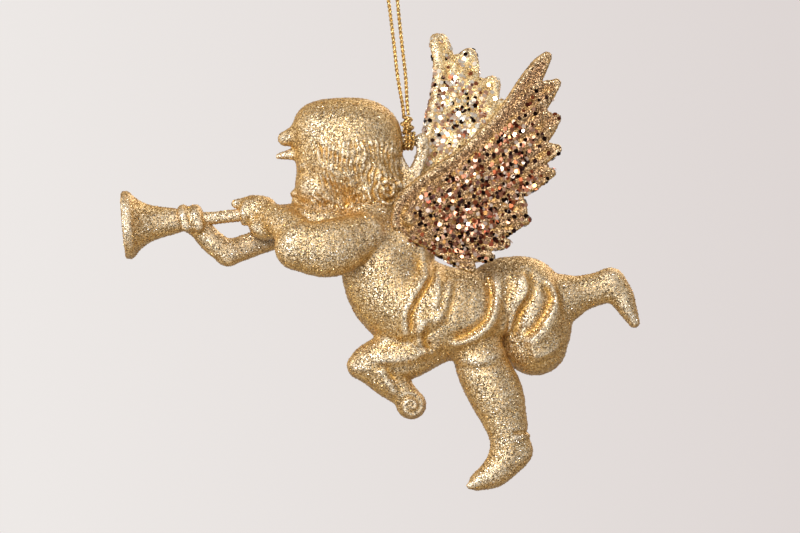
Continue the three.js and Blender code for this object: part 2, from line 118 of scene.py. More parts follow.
# ---------------------------------------- the figure's frame
@dataclass(frozen=True)
class FigureFrame:
    """The figure's own frame: millimetres from the eye bar's middle, leaned as the figure hangs."""

    pivot: Vector
    bar_axis: Vector

    @classmethod
    def from_joint(cls, name: str) -> "FigureFrame":
        """The frame that a joint's pivot and axis give.

        Args:
            name: The joint that swings the figure on its eye bar.

        Returns:
            The figure's frame.
        """
        joint = next(j for j in frame["joints"] if j["name"] == name)
        return cls(Vector(joint["pos_m"]), Vector(joint["axis"]).normalized())

    @property
    def matrix(self) -> Matrix:
        """Turns figure millimetres into metres in the row frame.

        Returns:
            The matrix.
        """
        across = Vector((0, 1, 0))
        up = self.bar_axis.cross(across)
        turn = Matrix((self.bar_axis, across, up)).transposed().to_4x4()
        return Matrix.Translation(self.pivot) @ turn @ Matrix.Scale(MM, 4)

    def to_row(self, points: Array) -> Array:
        """Figure points of shape (n, 3), in millimetres, as row-frame points in metres."""
        matrix = np.array(self.matrix)
        return points @ matrix[:3, :3].T + matrix[:3, 3]

    def point(self, x: float, y: float, z: float) -> Vector:
        """One figure point, in millimetres, as a row-frame point in metres."""
        return self.matrix @ Vector((x, y, z))


FIGURE = FigureFrame.from_joint("swing")


# ---------------------------------------- fields
@dataclass
class Grid:
    """A block of sample points, in figure millimetres, on a lattice that all castings share."""

    low: Array
    step: float
    shape: tuple[int, int, int]

    @classmethod
    def around(cls, low: Array, high: Array, step: float, margin: float = 1.6) -> "Grid":
        """The lattice block that holds a box and a margin round it.

        Args:
            low: The box's lowest corner.
            high: The box's highest corner.
            step: The lattice's step.
            margin: The margin.

        Returns:
            The block.
        """
        first = np.floor((low - margin) / step)
        last = np.ceil((high + margin) / step)
        count = (last - first + 1).astype(int)
        return cls(first * step, step, (int(count[0]), int(count[1]), int(count[2])))

    def axis(self, index: int) -> Array:
        """The sample positions along one axis."""
        return self.low[index] + self.step * np.arange(self.shape[index])

    def window(self, low: Array, high: Array) -> Window:
        """The part of the block that a box covers.

        Args:
            low: The box's lowest corner.
            high: The box's highest corner.

        Returns:
            A slice for each axis.
        """
        cuts = []
        for k in range(3):
            start = int(np.clip(math.floor((low[k] - self.low[k]) / self.step), 0, self.shape[k]))
            stop = int(np.clip(math.ceil((high[k] - self.low[k]) / self.step) + 1, 0, self.shape[k]))
            cuts.append(slice(start, stop))
        return cuts[0], cuts[1], cuts[2]

    def coordinates(self, window: Window) -> tuple[Array, Array, Array]:
        """x, y and z in a window, each ready to broadcast against the others.

        Args:
            window: The part of the block.

        Returns:
            The three arrays.
        """
        x = self.axis(0)[window[0]][:, None, None]
        y = self.axis(1)[window[1]][None, :, None]
        z = self.axis(2)[window[2]][None, None, :]
        return x, y, z

    def everywhere(self) -> tuple[Array, Array, Array]:
        """x, y and z over the whole block."""
        return self.coordinates((slice(None), slice(None), slice(None)))


def blend(a: Array, b: Array, radius: float) -> Array:
    """The union of two fields, with a fillet of about the given radius."""
    mix = np.clip(0.5 + 0.5 * (b - a) / radius, 0.0, 1.0)
    return b + (a - b) * mix - radius * mix * (1.0 - mix)


def ramp(value: Array, start: float, end: float) -> Array:
    """0 before start, 1 after end, and a smooth step between them; start may be the larger."""
    share = np.clip((value - start) / (end - start), 0.0, 1.0)
    return share * share * (3.0 - 2.0 * share)


def curve_through(points: Array, per_span: int) -> Array:
    """A Catmull-Rom curve through rows of numbers.

    Args:
        points: The rows that it passes through.
        per_span: How many rows each stretch gets.

    Returns:
        The curve's rows.
    """
    padded = np.vstack([2 * points[0] - points[1], points, 2 * points[-1] - points[-2]])
    rows = []
    for i in range(len(points) - 1):
        p0, p1, p2, p3 = padded[i : i + 4]
        for t in np.arange(per_span) / per_span:
            bend = (2 * p0 - 5 * p1 + 4 * p2 - p3) * t * t + (3 * p1 - p0 - 3 * p2 + p3) * t**3
            rows.append(0.5 * (2 * p1 + (p2 - p0) * t + bend))
    rows.append(points[-1])
    return np.array(rows)


def distance_to_line(x: Array, z: Array, points: Array) -> tuple[Array, Array, Array]:
    """Distance in the side view to a line of points.

    Args:
        x: Places along the flight line.
        z: Places upwards.
        points: The line's corners.

    Returns:
        The distance, how far along the line it is met, 0 to 1, and on which side, -1 or 1.
    """
    best = np.full(np.broadcast(x, z).shape, np.inf)
    along = np.zeros_like(best)
    side = np.ones_like(best)
    spans = len(points) - 1
    for i in range(spans):
        (ax, az), (bx, bz) = points[i], points[i + 1]
        dx, dz = bx - ax, bz - az
        share = np.clip(((x - ax) * dx + (z - az) * dz) / (dx * dx + dz * dz), 0, 1)
        gap = np.hypot(x - ax - share * dx, z - az - share * dz)
        nearer = gap < best
        best = np.where(nearer, gap, best)
        along = np.where(nearer, (i + share) / spans, along)
        side = np.where(nearer, np.where(dx * (z - az) > dz * (x - ax), 1.0, -1.0), side)
    return best, along, side


def distance_to_outline(x: Array, z: Array, outline: Array) -> Array:
    """Signed distance in the side view to a closed outline.

    Args:
        x: Places along the flight line.
        z: Places upwards.
        outline: The outline's corners.

    Returns:
        The distance, negative inside.
    """
    closed = np.vstack([outline, outline[:1]])
    gap, _, _ = distance_to_line(x, z, closed)
    inside = np.zeros(gap.shape, bool)
    for (ax, az), (bx, bz) in zip(closed[:-1], closed[1:]):
        if az != bz:
            crosses = (az > z) != (bz > z)
            inside ^= crosses & (x < (bx - ax) * (z - az) / (bz - az) + ax)
    return np.where(inside, -gap, gap)


class Form:
    """A simple sculpted form. Subclasses give its box and its field."""

    def box(self) -> tuple[Array, Array]:
        """The form's lowest and highest corners."""
        raise NotImplementedError

    def distances(self, grid: Grid, window: Window) -> Array:
        """The form's own field in a window of a grid, negative inside the form."""
        raise NotImplementedError

    def add_to(self, grid: Grid, out: Array, fillet: float) -> None:
        """Joins the form to a field, with a fillet.

        Args:
            grid: The lattice block.
            out: The field on it, which is changed.
            fillet: The fillet's radius.
        """
        low, high = self.box()
        window = grid.window(low - REACH, high + REACH)
        out[window] = blend(out[window], self.distances(grid, window), fillet)


@dataclass
class Blob(Form):
    """An egg shape."""

    centre: Point
    radii: Point

    def box(self) -> tuple[Array, Array]:
        """The egg's box."""
        return np.array(self.centre) - self.radii, np.array(self.centre) + self.radii

    def distances(self, grid: Grid, window: Window) -> Array:
        """The egg's field.

        Args:
            grid: The lattice block.
            window: The part of it to work on.

        Returns:
            The field there, negative inside.
        """
        terms = [(c - m) / r for c, m, r in zip(grid.coordinates(window), self.centre, self.radii)]
        size = np.sqrt(sum(t * t for t in terms)) + 1e-6
        slope = np.sqrt(sum((t / r) ** 2 for t, r in zip(terms, self.radii))) + 1e-6
        return size * (size - 1.0) / slope


@dataclass
class Limb(Form):
    """A rounded limb through stations (x, y, z, half height[, half width]); the width runs sideways."""

    stations: Sequence[Sequence[float]]
    per_span: int = 4

    @classmethod
    def beside(cls, y: float, *stations: Sequence[float]) -> "Limb":
        """A limb at one distance from the middle, through stations (x, z, half height, half width)."""
        return cls([(x, y, z, *size) for x, z, *size in stations])

    def rows(self) -> Array:
        """The stations as even rows, smoothed."""
        full = np.array([tuple(s) if len(s) == 5 else (*s, s[3]) for s in self.stations], float)
        return curve_through(full, self.per_span)

    def box(self) -> tuple[Array, Array]:
        """The limb's box.

        Returns:
            The lowest and the highest corner.
        """
        rows = self.rows()
        size = rows[:, 3:5].max(axis=1)[:, None]
        return (rows[:, :3] - size).min(axis=0), (rows[:, :3] + size).max(axis=0)

    def distances(self, grid: Grid, window: Window) -> Array:
        """The limb's field, stretch by stretch.

        Args:
            grid: The lattice block.
            window: The part of it to work on.

        Returns:
            The field there, negative inside.
        """
        rows = self.rows()
        own = np.full([cut.stop - cut.start for cut in window], FAR)
        for a, b in zip(rows[:-1], rows[1:]):
            reach = max(a[3:].max(), b[3:].max()) + REACH
            near = grid.window(np.minimum(a[:3], b[:3]) - reach, np.maximum(a[:3], b[:3]) + reach)
            near = tuple(slice(max(n.start, w.start), min(n.stop, w.stop)) for n, w in zip(near, window))
            if any(cut.start >= cut.stop for cut in near):
                continue
            x, y, z = grid.coordinates(near)
            local = tuple(slice(n.start - w.start, n.stop - w.start) for n, w in zip(near, window))
            d = b - a
            share = ((x - a[0]) * d[0] + (y - a[1]) * d[1] + (z - a[2]) * d[2]) / (d[:3] @ d[:3])
            share = np.clip(share, 0, 1)
            height = a[3] + share * d[3]
            width = a[4] + share * d[4]
            side = (y - a[1] - share * d[1]) * height / width
            gap = np.sqrt((x - a[0] - share * d[0]) ** 2 + side**2 + (z - a[2] - share * d[2]) ** 2)
            own[local] = np.minimum(own[local], gap - height)
        return own


@dataclass
class Sheet(Form):
    """A plate with an outline in the side view, whose middle may lie off the figure's middle plane."""

    outline: Array
    half_thickness: Callable[[Array, Array], Array]
    middle: Callable[[Array, Array], Array]
    rounding: float = 0.9
    holes: tuple[Array, ...] = ()

    def box(self) -> tuple[Array, Array]:
        """The plate's box.

        Returns:
            The lowest and the highest corner.
        """
        x, z = self.outline[:, 0], self.outline[:, 1]
        y = self.middle(x, z)
        thick = self.half_thickness(x, z).max() + 1.0
        return np.array([x.min(), y.min() - thick, z.min()]), np.array([x.max(), y.max() + thick, z.max()])

    def distances(self, grid: Grid, window: Window) -> Array:
        """The plate's field, with its holes.

        Args:
            grid: The lattice block.
            window: The part of it to work on.

        Returns:
            The field there, negative inside.
        """
        x, y, z = grid.coordinates(window)
        edge = distance_to_outline(x, z, self.outline)
        for hole in self.holes:
            edge = np.maximum(edge, -distance_to_outline(x, z, hole))
        half = self.half_thickness(x, z)
        soft = np.minimum(self.rounding, half)
        across = edge + soft
        deep = np.abs(y - self.middle(x, z)) - (half - soft)
        outside = np.hypot(np.maximum(across, 0), np.maximum(deep, 0))
        return np.minimum(np.maximum(across, deep), 0) + outside - soft


@dataclass
class Turned(Form):
    """A turned form: a field of the distance along an axis and the distance from it."""

    start: Point
    direction: Vector
    length: float
    radius: float
    profile: Callable[[Array, Array], Array]

    def box(self) -> tuple[Array, Array]:
        """The turned form's box.

        Returns:
            The lowest and the highest corner.
        """
        ends = np.array([self.start, np.array(self.start) + np.array(self.direction) * self.length])
        size = np.array([0.5, self.radius, self.radius])
        return ends.min(axis=0) - size, ends.max(axis=0) + size

    def distances(self, grid: Grid, window: Window) -> Array:
        """The turned form's field.

        Args:
            grid: The lattice block.
            window: The part of it to work on.

        Returns:
            The field there, negative inside.
        """
        x, y, z = grid.coordinates(window)
        dx, dy, dz = x - self.start[0], y - self.start[1], z - self.start[2]
        along = dx * self.direction[0] + dy * self.direction[1] + dz * self.direction[2]
        away = np.sqrt(np.maximum(dx * dx + dy * dy + dz * dz - along * along, 0))
        return self.profile(along, away)


# ---------------------------------------- meshing
def surface_net(values: Array, grid: Grid) -> tuple[Array, Array]:
    """Closed quads round the negative part of a sampled field.

    Args:
        values: The field at each lattice point.
        grid: The lattice block that it was sampled on.

    Returns:
        Vertices in figure millimetres, and quads that face outwards.
    """
    cells = tuple(n - 1 for n in values.shape)
    total = int(np.prod(cells))
    hits = np.zeros(total)
    sums = np.zeros((3, total))
    quads = []
    for axis in range(3):
        u, v = (axis + 1) % 3, (axis + 2) % 3
        count = values.shape[axis]
        first = np.take(values, np.arange(count - 1), axis=axis)
        second = np.take(values, np.arange(1, count), axis=axis)
        crossing = (first < 0) != (second < 0)
        corner = np.argwhere(crossing)
        before, after = first[crossing], second[crossing]
        place = corner.astype(float)
        place[:, axis] += before / (before - after)
        ring = []
        for du, dv in ((1, 1), (0, 1), (0, 0), (1, 0)):
            cell = corner.copy()
            cell[:, u] -= du
            cell[:, v] -= dv
            flat = np.ravel_multi_index(np.clip(cell, 0, np.array(cells) - 1).T, cells)
            hits += np.bincount(flat, minlength=total)
            for k in range(3):
                sums[k] += np.bincount(flat, weights=place[:, k], minlength=total)
            ring.append(flat)
        quad = np.stack(ring, axis=1)
        quads.append(np.where((before < 0)[:, None], quad, quad[:, ::-1]))
    used = np.flatnonzero(hits)
    number = np.full(total, -1)
    number[used] = np.arange(len(used))
    points = grid.low + grid.step * (sums[:, used] / hits[used]).T
    return points, number[np.vstack(quads)]


def add_object(name: str, data: bpy.types.ID) -> bpy.types.Object:
    """A new object in the scene.

    Args:
        name: Its name.
        data: Its mesh, light or camera.

    Returns:
        The object.
    """
    obj = bpy.data.objects.new(name, data)
    bpy.context.scene.collection.objects.link(obj)
    return obj


def mesh_object(name: str, points: Array, quads: Array) -> bpy.types.Object:
    """A smooth-shaded object from row-frame points and quads.

    Args:
        name: Its name.
        points: The corners, in metres.
        quads: The faces, all of three or all of four corners.

    Returns:
        The object.
    """
    mesh = bpy.data.meshes.new(name)
    mesh.vertices.add(len(points))
    mesh.vertices.foreach_set("co", np.ascontiguousarray(points, dtype=np.float32).ravel())
    mesh.loops.add(quads.size)
    mesh.loops.foreach_set("vertex_index", np.ascontiguousarray(quads, dtype=np.int32).ravel())
    mesh.polygons.add(len(quads))
    mesh.polygons.foreach_set("loop_start", np.arange(0, quads.size, quads.shape[1], dtype=np.int32))
    mesh.polygons.foreach_set("use_smooth", np.ones(len(quads), bool))
    mesh.update(calc_edges=True)
    mesh.validate()
    return add_object(name, mesh)


# ---------------------------------------- finishes
class NodeTree:
    """A small helper that adds and joins nodes."""

    def __init__(self, tree: bpy.types.NodeTree) -> None:
        """Starts with an empty tree."""
        self.tree = tree
        tree.nodes.clear()

    def add(self, kind: str, **settings: object) -> bpy.types.Node:
        """A new node, with its properties set.

        Args:
            kind: The node's type.
            **settings: Its properties.

        Returns:
            The node.
        """
        node = self.tree.nodes.new(kind)
        for key, value in settings.items():
            setattr(node, key, value)
        return node

    def join(self, source: Socket, target: Socket) -> None:
        """Links one socket to another."""
        self.tree.links.new(source, target)

    def ramp(self, source: Socket, stops: Tones) -> Socket:
        """A colour ramp over a value.

        Args:
            source: The value.
            stops: Positions and their colours.

        Returns:
            The colour.
        """
        node = self.add("ShaderNodeValToRGB")
        elements = node.color_ramp.elements
        while len(elements) < len(stops):
            elements.new(0.5)
        for element, (position, colour) in zip(elements, stops):
            element.position = position
            element.color = (*colour, 1.0)
        self.join(source, node.inputs["Fac"])
        return node.outputs["Color"]

    def mixed(self, share: Socket, first: Socket, second: Socket) -> Socket:
        """Two colours mixed by a share from 0 to 1.

        Args:
            share: The second colour's share.
            first: The first colour.
            second: The second colour.

        Returns:
            The mixed colour.
        """
        node = self.add("ShaderNodeMix", data_type="RGBA")
        self.join(share, node.inputs[0])
        self.join(first, node.inputs[6])
        self.join(second, node.inputs[7])
        return node.outputs[2]

    def vector_math(self, operation: str, first: Socket, second: Socket | Point | None) -> Socket:
        """A vector operation.

        Args:
            operation: The operation's name.
            first: The first vector.
            second: The second, a socket or fixed, if there is one.

        Returns:
            The result.
        """
        node = self.add("ShaderNodeVectorMath", operation=operation)
        self.join(first, node.inputs[0])
        if isinstance(second, Socket):
            self.join(second, node.inputs[1])
        elif second is not None:
            node.inputs[1].default_value = second
        return node.outputs["Vector"]

    def spread(self, value: Socket, start: Span, end: Span = (0.0, 1.0), smooth: bool = False) -> Socket:
        """A number moved from one range to another, and held inside it.

        Args:
            value: The number.
            start: The range that it comes from.
            end: The range that it goes to.
            smooth: Whether it eases in and out.

        Returns:
            The moved number.
        """
        node = self.add("ShaderNodeMapRange", interpolation_type="SMOOTHSTEP" if smooth else "LINEAR")
        node.inputs["From Min"].default_value, node.inputs["From Max"].default_value = start
        node.inputs["To Min"].default_value, node.inputs["To Max"].default_value = end
        self.join(value, node.inputs["Value"])
        return node.outputs["Result"]

    def cells(self, size: float) -> bpy.types.Node:
        """Small cells in the object's own space, each with its own random colour.

        Args:
            size: How large they are, in metres.

        Returns:
            The node that makes them.
        """
        where = self.add("ShaderNodeTexCoord")
        node = self.add("ShaderNodeTexVoronoi", feature="F1")
        node.inputs["Scale"].default_value = 1 / size
        self.join(where.outputs["Object"], node.inputs["Vector"])
        return node

    def leaned(self, colour: Socket, tilt: float) -> Socket:
        """The surface's normal, leaned over by each cell's random colour.

        Args:
            colour: The cells' colour.
            tilt: How far it may lean.

        Returns:
            The leaned normal.
        """
        shape = self.add("ShaderNodeNewGeometry")
        lean = self.vector_math("SUBTRACT", colour, (0.5, 0.5, 0.5))
        lean = self.vector_math("MULTIPLY", lean, (tilt, tilt, tilt))
        leaned = self.vector_math("ADD", shape.outputs["Normal"], lean)
        return self.vector_math("NORMALIZE", leaned, None)

    def show(self, shader: Socket) -> None:
        """Sends a shader to the material's output."""
        end = self.add("ShaderNodeOutputMaterial")
        self.join(shader, end.inputs["Surface"])


def new_material(name: str) -> tuple[bpy.types.Material, NodeTree]:
    """A new material with an empty node tree.

    Args:
        name: Its name.

    Returns:
        The material and its node tree.
    """
    material = bpy.data.materials.new(name)
    material.use_nodes = True
    return material, NodeTree(material.node_tree)


GOLD_TONES = (
    (0.00, (0.055, 0.036, 0.018)),
    (0.22, (0.160, 0.102, 0.048)),
    (0.42, (0.460, 0.305, 0.130)),
    (0.75, (0.710, 0.525, 0.280)),
    (1.00, (1.000, 0.910, 0.700)),
)
# the lacquer under the glitter: where it shows, it is painted shade in the hollows and under the forms, and a
# painted warm rim at the edges
SHADE_AND_RIM_LACQUER_TONES = (
    (0.00, (0.25, 0.115, 0.018)),
    (0.50, (0.58, 0.315, 0.065)),
    (1.00, (0.86, 0.560, 0.170)),
)
# the far wing's paler gold: partly its own colour, and partly brightened as painted light, since that wing
# lies in weaker light
PALE_GOLD_AND_PAINTED_LIGHT_TONES = (
    (0.00, (0.130, 0.072, 0.028)),
    (0.22, (0.400, 0.250, 0.095)),
    (0.42, (0.820, 0.570, 0.240)),
    (0.75, (1.000, 0.780, 0.400)),
    (1.00, (1.000, 0.940, 0.700)),
)
# painted highlight: the cream that ridges take
PAINTED_HIGHLIGHT_TONES = (
    (0.00, (0.200, 0.150, 0.090)),
    (0.25, (0.560, 0.460, 0.310)),
    (0.60, (0.900, 0.800, 0.600)),
    (1.00, (1.000, 0.970, 0.880)),
)
GRAIN_TONES = (
    (0.00, (0.070, 0.050, 0.032)),
    (0.26, (0.360, 0.222, 0.086)),
    (0.52, (0.540, 0.370, 0.172)),
    (0.74, (0.740, 0.590, 0.360)),
    (0.87, (1.000, 0.975, 0.910)),
)
WING_GRAIN_TONES = (
    (0.00, (0.045, 0.024, 0.013)),
    (0.32, (0.200, 0.098, 0.038)),
    (0.58, (0.345, 0.188, 0.080)),
    (0.84, (0.520, 0.322, 0.150)),
    (0.95, (0.900, 0.690, 0.430)),
)
WING_TONES = (
    (0.00, (0.030, 0.016, 0.010)),
    (0.25, (0.100, 0.050, 0.022)),
    (0.45, (0.200, 0.104, 0.046)),
    (0.75, (0.320, 0.180, 0.080)),
    (1.00, (0.600, 0.400, 0.220)),
)
CHUNKY_TONES = (
    (0.00, (0.014, 0.006, 0.005)),
    (0.26, (0.095, 0.022, 0.012)),
    (0.37, (0.320, 0.085, 0.036)),
    (0.51, (0.400, 0.165, 0.095)),
    (0.67, (0.600, 0.340, 0.230)),
    (0.84, (0.970, 0.780, 0.640)),
    (0.94, (0.480, 0.250, 0.085)),
)
PALE_CHUNKY_TONES = (
    (0.00, (0.020, 0.008, 0.006)),
    (0.14, (0.340, 0.110, 0.050)),
    (0.26, (0.760, 0.440, 0.290)),
    (0.40, (0.950, 0.720, 0.540)),
    (0.60, (1.000, 0.920, 0.780)),
)


class PaintedShadeRimAndHighlight:
    """Painted shade, a painted rim and painted highlights, which a finish reads from numbers stored on its
    surface: the lacquer's darker orange stands in for shade in the hollows and under the forms and for a warm
    rim where the surface turns edge on, and ridges take a paler cream as a painted highlight.
    """

    painted_shade_hollows: ClassVar[Span] = (0.05, 0.60)  # painted shade: from glitter to the lacquer as a hollow deepens
    painted_rim_edges: ClassVar[Span] = (0.88, 0.38)  # painted rim: from glitter to the lacquer as the surface turns edge on
    painted_rim_share: ClassVar[float] = 0.80
    painted_highlight_ridges: ClassVar[Span] = (-0.10, -0.50)  # from plain to a painted cream highlight as a ridge stands out
    painted_highlight_share: ClassVar[float] = 0.60

    def _painted_shade_and_rim(self, nodes: NodeTree) -> Socket:
        """How much of the lacquer shows: most in the hollows and on the edges, as painted shade there and a
        painted warm rim.

        Args:
            nodes: The material's nodes.

        Returns:
            A share from 0 to 1.
        """
        most = nodes.add("ShaderNodeMath", operation="MAXIMUM")
        nodes.join(self._share(nodes, "hollow", self.painted_shade_hollows, 1.0), most.inputs[0])
        nodes.join(self._share(nodes, "facing", self.painted_rim_edges, self.painted_rim_share), most.inputs[1])
        return most.outputs[0]

    @staticmethod
    def _share(nodes: NodeTree, name: str, between: Span, most: float) -> Socket:
        """A share that grows from 0 to the most as a stored number goes between two values."""
        number = nodes.add("ShaderNodeAttribute", attribute_name=name)
        return nodes.spread(number.outputs["Fac"], between, (0.0, most))


@dataclass(frozen=True)
class GlitterSkin(PaintedShadeRimAndHighlight):
    """Gold lacquer covered in fine glitter: each cell has its own tone, gloss and tilt."""

    name: str
    tones: Tones
    painted_highlight: Tones = PAINTED_HIGHLIGHT_TONES
    lacquer: Tones = SHADE_AND_RIM_LACQUER_TONES
    grain: float = 0.22 * MM
    tilt: float = 0.75
    metallic: Span = (0.35, 0.95)
    roughness: Span = (0.30, 0.55)

    def build(self) -> bpy.types.Material:
        """Makes the finish.

        Returns:
            Its material.
        """
        material, nodes = new_material(self.name)
        cells = nodes.cells(self.grain)
        parts = nodes.add("ShaderNodeSeparateColor")
        nodes.join(cells.outputs["Color"], parts.inputs["Color"])
        surface = nodes.add("ShaderNodeBsdfPrincipled")
        # painted highlight: ridges turn from the glitter's tones to the cream ones
        glitter = nodes.mixed(
            self._share(nodes, "hollow", self.painted_highlight_ridges, self.painted_highlight_share),
            nodes.ramp(parts.outputs["Red"], self.tones),
            nodes.ramp(parts.outputs["Red"], self.painted_highlight),
        )
        # painted shade and rim: the lacquer takes over in the hollows, under the forms and at the edges
        lacquer = nodes.ramp(parts.outputs["Red"], self.lacquer)
        nodes.join(nodes.mixed(self._painted_shade_and_rim(nodes), glitter, lacquer), surface.inputs["Base Color"])
        metallic = nodes.spread(parts.outputs["Green"], (0.0, 1.0), self.metallic)
        nodes.join(metallic, surface.inputs["Metallic"])
        roughness = nodes.spread(parts.outputs["Blue"], (0.0, 1.0), self.roughness)
        nodes.join(roughness, surface.inputs["Roughness"])
        nodes.join(nodes.leaned(cells.outputs["Color"], self.tilt), surface.inputs["Normal"])
        nodes.show(surface.outputs["BSDF"])
        return material


@dataclass(frozen=True)
class FlakeFoil(PaintedShadeRimAndHighlight):
    """Cut metallic foil: each flake has its own tone, and one that takes painted shade takes on the lacquer's
    in the hollows and at the edges, as painted shade and a painted rim.
    """

    name: str
    tones: Tones
    roughness: float = 0.22
    metallic: float = 1.0
    takes_painted_shade: bool = False

    def build(self) -> bpy.types.Material:
        """Makes the finish.

        Returns:
            Its material.
        """
        material, nodes = new_material(self.name)
        number = nodes.add("ShaderNodeAttribute", attribute_name="tone")
        surface = nodes.add("ShaderNodeBsdfPrincipled")
        surface.inputs["Roughness"].default_value = self.roughness
        surface.inputs["Metallic"].default_value = self.metallic
        colour = nodes.ramp(number.outputs["Fac"], self.tones)
        colour.node.color_ramp.interpolation = "CONSTANT"
        # painted shade and rim on the flakes too: they take the lacquer's tone in the hollows and at the
        # edges
        if self.takes_painted_shade:
            lacquer = nodes.ramp(number.outputs["Fac"], SHADE_AND_RIM_LACQUER_TONES)
            colour = nodes.mixed(self._painted_shade_and_rim(nodes), colour, lacquer)
        nodes.join(colour, surface.inputs["Base Color"])
        nodes.show(surface.outputs["BSDF"])
        return material


@dataclass(frozen=True)
class MetallicThread:
    """Metallic thread: small specks, each with its own tone and its own lean."""

    name: str = "metallic_thread"
    colour: Colour = (0.62, 0.38, 0.11)
    pale: Colour = (0.95, 0.72, 0.34)
    shade: float = 0.22  # how bright the darkest specks are, against the colour
    speckle: float = 0.16 * MM
    tilt: float = 0.5
    roughness: float = 0.32
    metallic: float = 0.9

    def build(self) -> bpy.types.Material:
        """Makes the finish.

        Returns:
            Its material.
        """
        material, nodes = new_material(self.name)
        speckle = nodes.cells(self.speckle)
        parts = nodes.add("ShaderNodeSeparateColor")
        nodes.join(speckle.outputs["Color"], parts.inputs["Color"])
        red, green, blue = (self.shade * channel for channel in self.colour)
        stops = ((0.0, (red, green, blue)), (0.35, self.colour), (1.0, self.pale))
        tones = nodes.ramp(parts.outputs["Red"], stops)
        surface = nodes.add("ShaderNodeBsdfPrincipled")
        surface.inputs["Roughness"].default_value = self.roughness
        surface.inputs["Metallic"].default_value = self.metallic
        nodes.join(tones, surface.inputs["Base Color"])
        nodes.join(nodes.leaned(speckle.outputs["Color"], self.tilt), surface.inputs["Normal"])
        nodes.show(surface.outputs["BSDF"])
        return material


